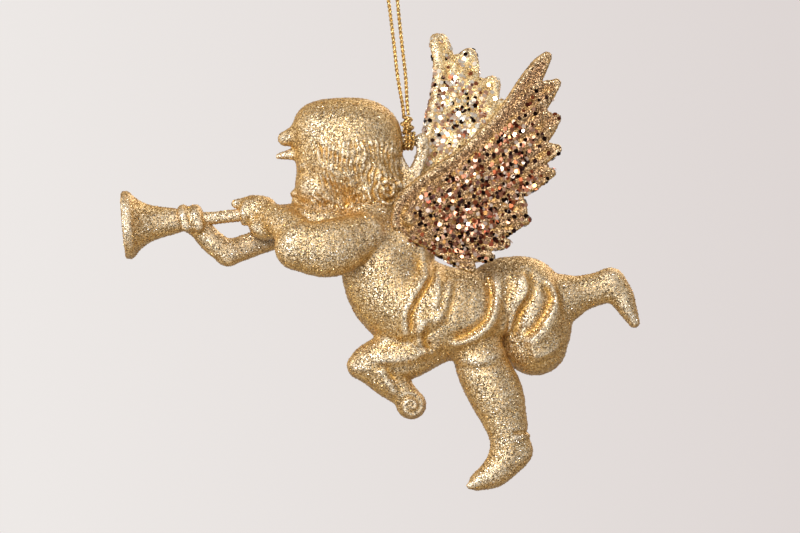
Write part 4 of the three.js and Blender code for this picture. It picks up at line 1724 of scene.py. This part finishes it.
NEAR_WING = Wing(
    casting=Casting.NEAR_WING,
    front_edge=(
        (-3, -21.5), (-2.4, -15.8), (2.6, -10.6), (9, -6.2),
        (16.4, -0.4), (23, 6.6), (27.5, 13.4), (31.4, 18.6),
    ),
    tips=(
        (34.4, 21.3), (37, 14.6), (37.2, 5.9), (37.5, -1.9), (36.1, -7.8),
        (29.9, -20.6), (25.2, -25.6), (21.2, -29.4), (16.4, -32.6),
    ),
    notches=(
        (33.4, 14.6), (34.8, 7.8), (35.2, -0.4), (34.9, -5.6), (29.4, -13.8),
        (25.6, -23.8), (21.6, -27.6), (17.6, -30.3), (12.5, -31.6),
    ),
    lower_edge=((5, -27.4), (-1, -24.4)),
    root=(-1, -19.6),
    side=-1,
    root_distance=8.9,
    slope=0.387,
    spread_along=(1, 0.25),
    thickness=2.3,
    fan=(-8, -26),
)
FAR_WING = Wing(
    casting=Casting.FAR_WING,
    front_edge=((-1.4, -19), (0.6, -9.6), (4, -2.6), (5.8, 6.6), (7.4, 13.6), (7.6, 20), (6.6, 25)),
    tips=((7.2, 27.6), (15.6, 24), (22.2, 16.6), (24.6, 10.6), (23.6, 1.6), (18.4, -10)),
    notches=((11.8, 23.4), (18.4, 17.6), (23.3, 11.6), (22.6, 5), (19, -5), (12, -14)),
    lower_edge=((8, -18.6), (3, -22)),
    root=(0.6, -17.6),
    side=1,
    root_distance=4.6,
    spread_along=(0.25, 1),
    thickness=2.6,
    fan=(-4, -26),
    tip_radius=2.3,
    bare_ridge=(0.1, 1.2),
    crowd=(8.0, 7.0),
    crowd_reach=(15.0, 4.0),
)


@dataclass(frozen=True)
class HangingEye:
    """The eye behind the head: a tapered plate, two lugs and the round bar that the cord wraps."""

    bar_radius: float = 1.2
    half_plate: float = 1.5
    rounding: float = 0.5
    front_lug: tuple[Flat, ...] = ((-3.95, -3.4), (-3.9, 0.9), (-3.4, 1.35), (-1.9, 1.2), (-1.9, -0.4))
    rear_lug: tuple[Flat, ...] = (
        (1.9, -0.4), (1.9, 1.4), (3.0, 2.0), (4.1, 1.5),
        (4.9, 0.3), (5.1, -1.8), (4.5, -4.4),
    )
    shank: tuple[Flat, ...] = (
        (3.3, -7.6), (2.0, -12.0), (1.1, -20.0),
        (-5.9, -20.0), (-5.6, -12.0), (-4.3, -7.6),
    )
    teardrop: tuple[Flat, ...] = (
        (-1.9, 3.0), (-1.9, -2.6), (-1.5, -4.0), (-0.6, -5.7), (0.25, -6.9),
        (0.7, -6.4), (1.4, -5.0), (2.0, -3.4), (1.9, -2.0), (1.9, 3.0),
    )

    def build(self, sculpture: Sculpture) -> None:
        """Adds the plate with its teardrop hole, and the bar.

        Args:
            sculpture: The sculpture that takes the forms.
        """
        outline = np.array((*self.front_lug, *self.rear_lug, *self.shank))
        sculpture.add(
            Casting.HANGING_EYE,
            0.35,
            Sheet(outline, self._half, self._middle, self.rounding, (np.array(self.teardrop),)),
            Limb.beside(0, (-2.6, 0, self.bar_radius), (2.6, 0, self.bar_radius)),
            Blob((3.5, 0, -0.2), (1.6, 2.0, 1.9)),
        )

    def _half(self, x: Array, z: Array) -> Array:
        """Half the plate's thickness, the same all over."""
        return np.full(np.broadcast(x, z).shape, self.half_plate)

    def _middle(self, x: Array, z: Array) -> Array:
        """The plate's middle, which lies on the figure's middle plane."""
        return np.zeros(np.broadcast(x, z).shape)


# ---------------------------------------- cord and knot
def carried_axes(path: Array) -> tuple[Array, Array]:
    """Two axes across a path, carried along it without a twist.

    Args:
        path: The centre line, of shape (n, 3).

    Returns:
        The two unit axes at each point.
    """
    tangent = np.gradient(path, axis=0)
    tangent /= np.linalg.norm(tangent, axis=1)[:, None]
    normal = np.zeros_like(path)
    start = np.cross(tangent[0], [0.0, 1.0, 0.3])
    normal[0] = start / np.linalg.norm(start)
    for i in range(1, len(path)):
        carried = normal[i - 1] - tangent[i] * (normal[i - 1] @ tangent[i])
        normal[i] = carried / np.linalg.norm(carried)
    return normal, np.cross(tangent, normal)


def tube_rings(path: Array, radius: float, sides: int) -> tuple[Array, Array]:
    """A round tube along a path, whose ends close in a point.

    Args:
        path: The centre line, of shape (n, 3).
        radius: The tube's radius.
        sides: How many points go round it.

    Returns:
        Points, and triangles that face outwards.
    """
    normal, binormal = carried_axes(path)
    angle = np.linspace(0, math.tau, sides, endpoint=False)
    ring = normal[:, None] * np.cos(angle)[None, :, None] + binormal[:, None] * np.sin(angle)[None, :, None]
    points = np.vstack([(path[:, None] + radius * ring).reshape(-1, 3), path[:1], path[-1:]])
    first, last = len(points) - 2, len(points) - 1
    i, k = np.meshgrid(np.arange(len(path) - 1), np.arange(sides), indexing="ij")
    a, b = i * sides + k, i * sides + (k + 1) % sides
    c, d = a + sides, b + sides
    k = np.arange(sides)
    base = (len(path) - 1) * sides
    faces = (
        np.stack([a, b, d], -1).reshape(-1, 3),
        np.stack([a, d, c], -1).reshape(-1, 3),
        np.stack([np.full(sides, first), (k + 1) % sides, k], -1),
        np.stack([np.full(sides, last), base + k, base + (k + 1) % sides], -1),
    )
    return points, np.vstack(faces)


def run_along(path: Array) -> Array:
    """How far along a path each of its points lies."""
    return np.concatenate([[0], np.cumsum(np.linalg.norm(np.diff(path, axis=0), axis=1))])


def even_path(points: Array, spacing: float) -> Array:
    """A smooth curve through points, with even spacing.

    Args:
        points: The points that it passes through.
        spacing: How far apart the curve's own points lie.

    Returns:
        The curve's points.
    """
    fine = curve_through(points, 60)
    steps = run_along(fine)
    count = max(3, int(steps[-1] / spacing))
    places = np.linspace(0, steps[-1], count)
    return np.stack([np.interp(places, steps, fine[:, k]) for k in range(3)], axis=1)


@dataclass(frozen=True)
class Twist:
    """Twisted thread: plies that wind round a common centre line."""

    diameter: float = 1.0
    plies: int = 2
    ply_share: float = 0.27  # a ply's radius, as a share of the thread's diameter
    pitch: float = 2.3
    sides: int = 7

    def wind(self, path: Array) -> tuple[Array, Array]:
        """The plies along a path, in the path's units.

        Args:
            path: The thread's centre line.

        Returns:
            Points and triangles.
        """
        ply = self.diameter * self.ply_share
        orbit = self.diameter / 2 - ply
        normal, binormal = carried_axes(path)
        run = run_along(path)
        points, faces, offset = [], [], 0
        for k in range(self.plies):
            turn = math.tau * (run / self.pitch + k / self.plies)
            centre = path + orbit * (normal * np.cos(turn)[:, None] + binormal * np.sin(turn)[:, None])
            ply_points, ply_faces = tube_rings(centre, ply, self.sides)
            points.append(ply_points)
            faces.append(ply_faces + offset)
            offset += len(ply_points)
        return np.vstack(points), np.vstack(faces)


@dataclass(frozen=True)
class HangingCord:
    """The loop: up one side from the knot, over the top bend, and down the other side."""

    twist: Twist = Twist()
    half_route: tuple[Flat, ...] = (
        (0.56, 6.5),
        (0.6, 9.5),
        (1, 16.5),
        (1, 25.2),
        (1.16, 36),
        (1.98, 46.8),
        (2.88, 55.2),
        (2.94, 57.84),
        (1.98, 59.72),
    )
    top: float = 60.5
    spacing: float = 0.14  # millimetres between the centre line's points
    route_stride: int = 12  # points from one stated place of the route to the next

    def centre_line(self) -> Array:
        """The loop's centre line, in row-frame millimetres: up on the left, down on the right.

        Returns:
            Its points.
        """
        base = FIGURE.pivot.z / MM
        up = [(-x, 0.0, z + base) for x, z in self.half_route]
        down = [(x, 0.0, z + base) for x, z in reversed(self.half_route)]
        return even_path(np.array([*up, (0.0, 0.0, self.top + base), *down]), self.spacing)

    def build(self, finish: bpy.types.Material, knot: bpy.types.Object) -> None:
        """The loop as twisted thread, put on the cord's body.

        Args:
            finish: The thread's material.
            knot: Not used.
        """
        path = self.centre_line()
        points, faces = self.twist.wind(path)
        obj = mesh_object("hanging_cord_twisted", points * MM, faces)
        obj.data.materials.append(finish)
        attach(obj, "cord")
        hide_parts("hanging_cord")


@dataclass(frozen=True)
class CordKnot:
    """The knot: three wraps round the bar, and an overhand knot above them."""

    twist: Twist = Twist(diameter=0.98, pitch=2.1)
    wraps: int = 3
    wrap_pitch: float = 0.9
    wrap_radius: float = 2.0
    heart_low: float = 2.2
    heart_high: float = 6.1
    crossings: tuple[Point, ...] = (  # each loop's height above the bar, lean and half width
        (2.7, 0.60, 1.20),
        (3.8, -0.70, 1.30),
        (4.8, 0.60, 1.16),
        (5.9, -0.25, 0.62),
    )
    half_depth: float = 0.86
    heart_radii: Point = (0.95, 0.8, 1.75)

    def wrap_paths(self) -> list[Array]:
        """The rings round the bar, in row-frame millimetres.

        Returns:
            One centre line for each ring.
        """
        turn = np.linspace(0, math.tau, 72)
        rings = []
        for k in range(self.wraps):
            x = (k - (self.wraps - 1) / 2) * self.wrap_pitch + 0.34 * np.sin(turn - 0.5)
            ring = np.stack([x, self.wrap_radius * np.cos(turn), self.wrap_radius * np.sin(turn)], axis=1)
            rings.append(FIGURE.to_row(ring) / MM)
        return rings

    def loop_paths(self) -> list[Array]:
        """The knot's crossing loops, in row-frame millimetres, above the bar.

        Returns:
            One centre line for each loop.
        """
        base = np.array(FIGURE.pivot) / MM
        t = np.linspace(0, math.tau, 120)
        paths = []
        for height, lean, wide in self.crossings:
            rise = height + lean * np.cos(t + 0.4)
            paths.append(np.stack([wide * np.cos(t), self.half_depth * np.sin(t), rise], axis=1))
        over = np.stack([0.85 * np.sin(t), 1.12 * np.cos(t), 4.0 + 1.6 * np.sin(t + 0.5)], axis=1)
        return [path + base for path in (*paths, over)]

    def build(self, finish: bpy.types.Material, shade: bpy.types.Material) -> bpy.types.Object:
        """The knot's strands as one piece, round a dark heart that is painted shade between them.

        Args:
            finish: The strands' material.
            shade: The heart's material, a dark thread tone as painted shade.

        Returns:
            The strands.
        """
        points, faces, offset = [], [], 0
        for path in (*self.wrap_paths(), *self.loop_paths()):
            new_points, new_faces = self.twist.wind(path)
            points.append(new_points)
            faces.append(new_faces + offset)
            offset += len(new_points)
        # a dark blob inside the strands: painted shade in the knot's gaps
        heart = Blob((0, 0, (self.heart_low + self.heart_high) / 2), self.heart_radii)
        low, high = heart.box()
        grid = Grid.around(low, high, step=0.2, margin=0.5)
        body = np.full(grid.shape, FAR)
        heart.add_to(grid, body, 0.01)
        core, quads = surface_net(body, grid)
        core = core + np.array(FIGURE.pivot) / MM
        obj = mesh_object("cord_knot_tied", np.vstack(points) * MM, np.vstack(faces))
        obj.data.materials.append(finish)
        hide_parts("cord_knot")
        inside = mesh_object("cord_knot_heart", core * MM, quads)
        inside.data.materials.append(shade)
        for piece in (obj, inside):
            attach(piece, "knot")
        LOG.info("knot: %d faces", len(obj.data.polygons))
        return obj


# ---------------------------------------- the figure's pieces
@dataclass
class Figure:
    """The resin figure: every casting, with its finish and its flakes."""

    sculpture: Sculpture
    wings: tuple[Wing, ...]
    gold: GlitterSkin
    wing_skins: dict[Casting, GlitterSkin]
    grains: FlakeScatter
    chunks: FlakeScatter

    relief_reach: float = 1.6  # millimetres: how far round a point its surface is evened out
    relief_depth: float = 0.5  # millimetres below the evened surface that count as a full hollow

    NEIGHBOURS: ClassVar[dict[Casting, tuple[Casting, ...]]] = {
        Casting.TORSO: (
            Casting.HEAD,
            Casting.NEAR_ARM,
            Casting.FAR_ARM,
            Casting.REAR_DRAPE,
            Casting.STANDING_LEG,
            Casting.FRONT_DRAPE,
        ),
        Casting.HEAD: (Casting.TORSO,),
        Casting.NEAR_ARM: (Casting.TORSO,),
        Casting.FAR_ARM: (Casting.TORSO,),
        Casting.TRUMPET: (),
        Casting.FRONT_DRAPE: (Casting.TORSO, Casting.STANDING_LEG),
        Casting.REAR_DRAPE: (Casting.TORSO, Casting.STANDING_LEG, Casting.TRAILING_LEG),
        Casting.STANDING_LEG: (Casting.TORSO, Casting.FRONT_DRAPE, Casting.REAR_DRAPE, Casting.STANDING_FOOT),
        Casting.STANDING_FOOT: (Casting.STANDING_LEG,),
        Casting.TRAILING_LEG: (Casting.REAR_DRAPE,),
        Casting.HANGING_EYE: (),
        Casting.NEAR_WING: (),
        Casting.FAR_WING: (),
    }

    def build(self) -> None:
        """Builds each casting, then the grains and flakes on it."""
        gold = self.gold.build()
        skins = {casting: skin.build() for casting, skin in self.wing_skins.items()}
        fine = FlakeFoil("fine_grain_foil", GRAIN_TONES, 0.28, 0.9, True).build()
        grain_finish = {
            Casting.NEAR_WING: FlakeFoil("wing_grain_foil", WING_GRAIN_TONES, 0.34, 0.9).build(),
            Casting.FAR_WING: FlakeFoil("pale_grain_foil", PALE_GOLD_AND_PAINTED_LIGHT_TONES, 0.34, 0.9).build(),
        }
        chunky = {
            Casting.NEAR_WING: FlakeFoil("chunky_flake_foil", CHUNKY_TONES, 0.28).build(),
            Casting.FAR_WING: FlakeFoil("pale_chunky_foil", PALE_CHUNKY_TONES, 0.30).build(),
        }
        wing_castings = {wing.casting: wing for wing in self.wings}
        for casting in Casting:
            points, quads = self.sculpture.mesh(casting, self.NEIGHBOURS[casting])
            obj = mesh_object(casting.value + "_cast", FIGURE.to_row(points), quads)
            wing = wing_castings.get(casting)
            obj.data.materials.append(skins.get(casting, gold))
            self._place(obj, Slot.WING if wing else Slot.GOLD)
            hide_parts(casting.value)
            LOG.info("%s: %d faces", obj.name, len(quads))
            hollow, facing = self._relief(points, quads)
            self._store(obj, "hollow", hollow)
            self._store(obj, "facing", facing)
            # thinner grains in the hollows and at the edges, so that more of the painted shade and rim shows
            # there
            self._store(obj, "cover", 0.65 + 0.35 * ramp(facing, 0.2, 0.7) * ramp(hollow, 0.7, 0.1))
            grains = self.grains.strew(casting.value + "_grains", obj, grain_finish.get(casting, fine))
            self._place(grains, Slot.GOLD)
            LOG.info("%s: %d faces", grains.name, len(grains.data.polygons))
            if wing:
                self._store(obj, "cover", self._chunk_cover(wing, points))
                flakes = self.chunks.strew(casting.value + "_flakes", obj, chunky[casting])
                self._place(flakes, Slot.WING)
                LOG.info("%s: %d faces", flakes.name, len(flakes.data.polygons))

    @staticmethod
    def _place(obj: bpy.types.Object, slot: Slot) -> None:
        """Puts a piece on the figure's body."""
        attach(obj, "figurine")

    @staticmethod
    def _store(obj: bpy.types.Object, name: str, values: Array) -> None:
        """Stores one number at each point of a piece."""
        data = obj.data.attributes.get(name) or obj.data.attributes.new(name, "FLOAT", "POINT")
        data.data.foreach_set("value", values.astype(np.float32))

    def _relief(self, points: Array, quads: Array) -> tuple[Array, Array]:
        """How the surface lies at each point.

        Args:
            points: The piece's points.
            quads: Its faces.

        Returns:
            How far each point lies in a hollow, -1 to 1, and how squarely it faces sideways, 0 to 1, less
            where it faces down; both steer the painted shade and rim.
        """
        total = len(points)
        start, stop = np.vstack([quads[:, [k, (k + 1) % 4]] for k in range(4)]).T
        count = np.maximum(np.bincount(start, minlength=total), 1)

        def around(values: Array) -> Array:
            """The mean over each point's neighbours."""
            return np.bincount(start, weights=values[stop], minlength=total) / count

        corners = [points[quads[:, k]] for k in range(4)]
        diagonals = np.cross(corners[2] - corners[0], corners[3] - corners[1])
        sums = [np.bincount(quads.ravel(), np.repeat(diagonals[:, k], 4), total) for k in range(3)]
        normal = np.stack(sums, axis=1)
        normal /= np.maximum(np.linalg.norm(normal, axis=1)[:, None], 1e-9)
        smooth = points
        for _ in range(max(4, int(self.relief_reach / self.sculpture.step) ** 2)):
            smooth = np.stack([around(smooth[:, k]) for k in range(3)], axis=1)
        sunk = np.einsum("ij,ij->i", smooth - points, normal)
        # facing drops where the surface faces down, so that the painted shade shows under the forms
        facing = np.abs(normal[:, 1]) - 0.5 * np.maximum(0, -normal[:, 2] - 0.15)
        return np.clip(sunk / self.relief_depth, -1, 1), facing

    @staticmethod
    def _chunk_cover(wing: Wing, points: Array) -> Array:
        """How thickly chunky flakes lie: they crowd the wing's middle and thin out towards its edges.

        Args:
            wing: The wing.
            points: The points of its mesh.

        Returns:
            A share at each point.
        """
        x, z = points[:, 0], points[:, 2]
        line = np.array([*wing.front_edge, wing.tips[0]])
        gap, _, _ = distance_to_line(x, z, line)
        tips = np.array(wing.tips)
        to_tip = np.hypot(x[:, None] - tips[:, 0], z[:, None] - tips[:, 1]).min(axis=1)
        root = np.hypot(x - wing.root[0], z - wing.root[1])
        crowd = ramp(np.hypot(x - wing.crowd[0], z - wing.crowd[1]), *wing.crowd_reach)
        thin = (0.25 + 0.75 * ramp(to_tip, 3.5, 9.0)) * (0.25 + 0.75 * ramp(root, 5.0, 12.0))
        return ramp(gap, *wing.bare_ridge) * thin * (0.30 + 0.85 * crowd)


# ---------------------------------------- the scene round it
@dataclass(frozen=True)
class Softbox:
    """A square area light, placed in the figure's frame and aimed at a point."""

    name: str
    place: Point
    size: float
    watts: float
    colour: Colour
    aim: Point = (-2.0, 0.0, -35.0)

    def build(self) -> None:
        """Adds the light and aims it."""
        data = bpy.data.lights.new(self.name, "AREA")
        data.shape = "SQUARE"
        data.size = self.size
        data.energy = self.watts
        data.color = self.colour
        obj = add_object(self.name, data)
        place = FIGURE.point(*self.place)
        obj.location = place
        obj.rotation_euler = (FIGURE.point(*self.aim) - place).to_track_quat("-Z", "Y").to_euler()


@dataclass(frozen=True)
class Studio:
    """A pale floor far below that fades into a pale surround, soft light, and the camera."""

    floor_size: float = 4.0
    floor_drop: float = 0.20
    floor_tone: Colour = (0.72, 0.69, 0.67)
    floor_fade: Span = (0.20, 0.60)
    seen_left: Colour = (0.85, 0.815, 0.795)
    seen_right: Colour = (0.73, 0.675, 0.66)
    seen_span: Span = (-0.06, 0.06)
    ambient: Colour = (0.97, 0.92, 0.90)
    ambient_strength: Span = (0.43, 0.52)  # before the figure and behind it
    ambient_span: Span = (-0.9, 0.7)
    lights: tuple[Softbox, ...] = (
        Softbox("key", (-100.0, -630.0, 180.0), 0.26, 5.7, (1.0, 0.97, 0.95)),
        Softbox("side", (-520.0, -80.0, 60.0), 0.30, 1.0, (1.0, 0.97, 0.92)),
        Softbox("rim", (260.0, 420.0, 300.0), 0.35, 1.5, (1.0, 0.95, 0.88)),
    )
    focus: Point = (-2.25, 0.0, -31.4)
    distance: float = 1668.0
    lens: float = 300.0
    sensor: float = 36.0

    def build(self) -> None:
        """Floor, surround, lights and camera."""
        self._floor()
        self._surround()
        for light in self.lights:
            light.build()
        self._camera()
        bpy.context.scene.view_settings.view_transform = "Standard"

    def _floor(self) -> None:
        """A wide pale floor below the figure."""
        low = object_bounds()[0][2] - self.floor_drop
        size = self.floor_size
        corners = [(-size, -size, low), (size, -size, low), (size, size, low), (-size, size, low)]
        mesh = bpy.data.meshes.new("floor")
        mesh.from_pydata(corners, [], [(0, 1, 2, 3)])
        floor = add_object("floor", mesh)
        material, nodes = new_material("pale_floor")
        where = nodes.add("ShaderNodeTexCoord")
        away = nodes.add("ShaderNodeVectorMath", operation="LENGTH")
        flat = nodes.vector_math("MULTIPLY", where.outputs["Object"], (1.0, 1.0, 0.0))
        nodes.join(flat, away.inputs[0])
        surface = nodes.add("ShaderNodeBsdfDiffuse")
        surface.inputs["Color"].default_value = (*self.floor_tone, 1.0)
        clear = nodes.add("ShaderNodeBsdfTransparent")
        mix = nodes.add("ShaderNodeMixShader")
        nodes.join(nodes.spread(away.outputs["Value"], self.floor_fade, smooth=True), mix.inputs[0])
        nodes.join(surface.outputs[0], mix.inputs[1])
        nodes.join(clear.outputs[0], mix.inputs[2])
        nodes.show(mix.outputs[0])
        mesh.materials.append(material)
        floor.visible_diffuse = floor.visible_glossy = False
        floor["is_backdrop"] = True

    def _tone(self, nodes: NodeTree, vector: Socket) -> Socket:
        """The surround's tone, which deepens a little from left to right.

        Args:
            nodes: The surround's nodes.
            vector: The direction that is looked in.

        Returns:
            The colour.
        """
        parts = nodes.add("ShaderNodeSeparateXYZ")
        nodes.join(vector, parts.inputs[0])
        place = nodes.spread(parts.outputs["X"], self.seen_span)
        return nodes.ramp(place, ((0.0, self.seen_left), (1.0, self.seen_right)))

    def _surround(self) -> None:
        """Soft light from all round, stronger from behind; the camera sees a plain pale tone."""
        world = bpy.data.worlds.new("surround")
        bpy.context.scene.world = world
        world.use_nodes = True
        nodes = NodeTree(world.node_tree)
        where = nodes.add("ShaderNodeTexCoord")
        parts = nodes.add("ShaderNodeSeparateXYZ")
        nodes.join(where.outputs["Generated"], parts.inputs[0])
        strength = nodes.spread(parts.outputs["Y"], self.ambient_span, self.ambient_strength)
        soft = nodes.add("ShaderNodeBackground")
        soft.inputs["Color"].default_value = (*self.ambient, 1.0)
        nodes.join(strength, soft.inputs["Strength"])
        plain = nodes.add("ShaderNodeBackground")
        nodes.join(self._tone(nodes, where.outputs["Generated"]), plain.inputs["Color"])
        path = nodes.add("ShaderNodeLightPath")
        choice = nodes.add("ShaderNodeMixShader")
        nodes.join(path.outputs["Is Camera Ray"], choice.inputs[0])
        nodes.join(soft.outputs[0], choice.inputs[1])
        nodes.join(plain.outputs[0], choice.inputs[2])
        end = nodes.add("ShaderNodeOutputWorld")
        nodes.join(choice.outputs[0], end.inputs["Surface"])

    def _camera(self) -> None:
        """The camera looks along +Y, upright to the figure rather than to the cord."""
        data = bpy.data.cameras.new("camera")
        data.lens = self.lens
        data.sensor_width = self.sensor
        data.clip_start, data.clip_end = 0.01, 20.0
        camera = add_object("camera", data)
        x, z = self.focus[0], self.focus[2]
        right = (FIGURE.point(x + 1, 0, z) - FIGURE.point(x, 0, z)).normalized()
        up = (FIGURE.point(x, 0, z + 1) - FIGURE.point(x, 0, z)).normalized()
        back = right.cross(up)
        turn = Matrix((right, up, back)).transposed().to_4x4()
        camera.matrix_world = Matrix.Translation(FIGURE.point(x, -self.distance, z)) @ turn
        bpy.context.scene.camera = camera


def main() -> None:
    """Builds the figure, the cord and the studio, in that order."""
    logging.basicConfig(level=logging.INFO, format="%(message)s", stream=sys.stdout)
    sculpture = Sculpture(step=FINE_STEP)
    for part in (Head(), Torso(), Arms(), Trumpet(), Legs(), Drapery(), HangingEye(), NEAR_WING, FAR_WING):
        part.build(sculpture)
    figure = Figure(
        sculpture=sculpture,
        wings=(NEAR_WING, FAR_WING),
        gold=GlitterSkin("gold_glitter_skin", GOLD_TONES),
        wing_skins={
            Casting.NEAR_WING: GlitterSkin("near_wing_skin", WING_TONES, painted_highlight=GOLD_TONES),
            # the far wing's gold is partly brightened as painted light
            Casting.FAR_WING: GlitterSkin("far_wing_skin", PALE_GOLD_AND_PAINTED_LIGHT_TONES),
        },
        grains=FlakeScatter("fine_grains", 0.31, 0.10, 2.8, 0.75, 0.04, 7, True),
        chunks=FlakeScatter("chunky_flakes", 1.14, 0.10, 1.02, 0.30, 0.16, 21),
    )
    figure.build()
    thread = MetallicThread().build()
    # a dark thread tone for the knot's heart, as painted shade
    shade = MetallicThread("painted_shade_thread", (0.17, 0.085, 0.024), (0.32, 0.18, 0.06)).build()
    # the knot's thread: the cord's thread darkened as painted shade, where the strands shade each other
    knot_shade_thread = MetallicThread("knot_thread_painted_shade", (0.50, 0.28, 0.075), (0.92, 0.68, 0.30)).build()
    knot = CordKnot().build(knot_shade_thread, shade)
    HangingCord().build(thread, knot)
    Studio().build()


if __name__ == "__main__":
    main()
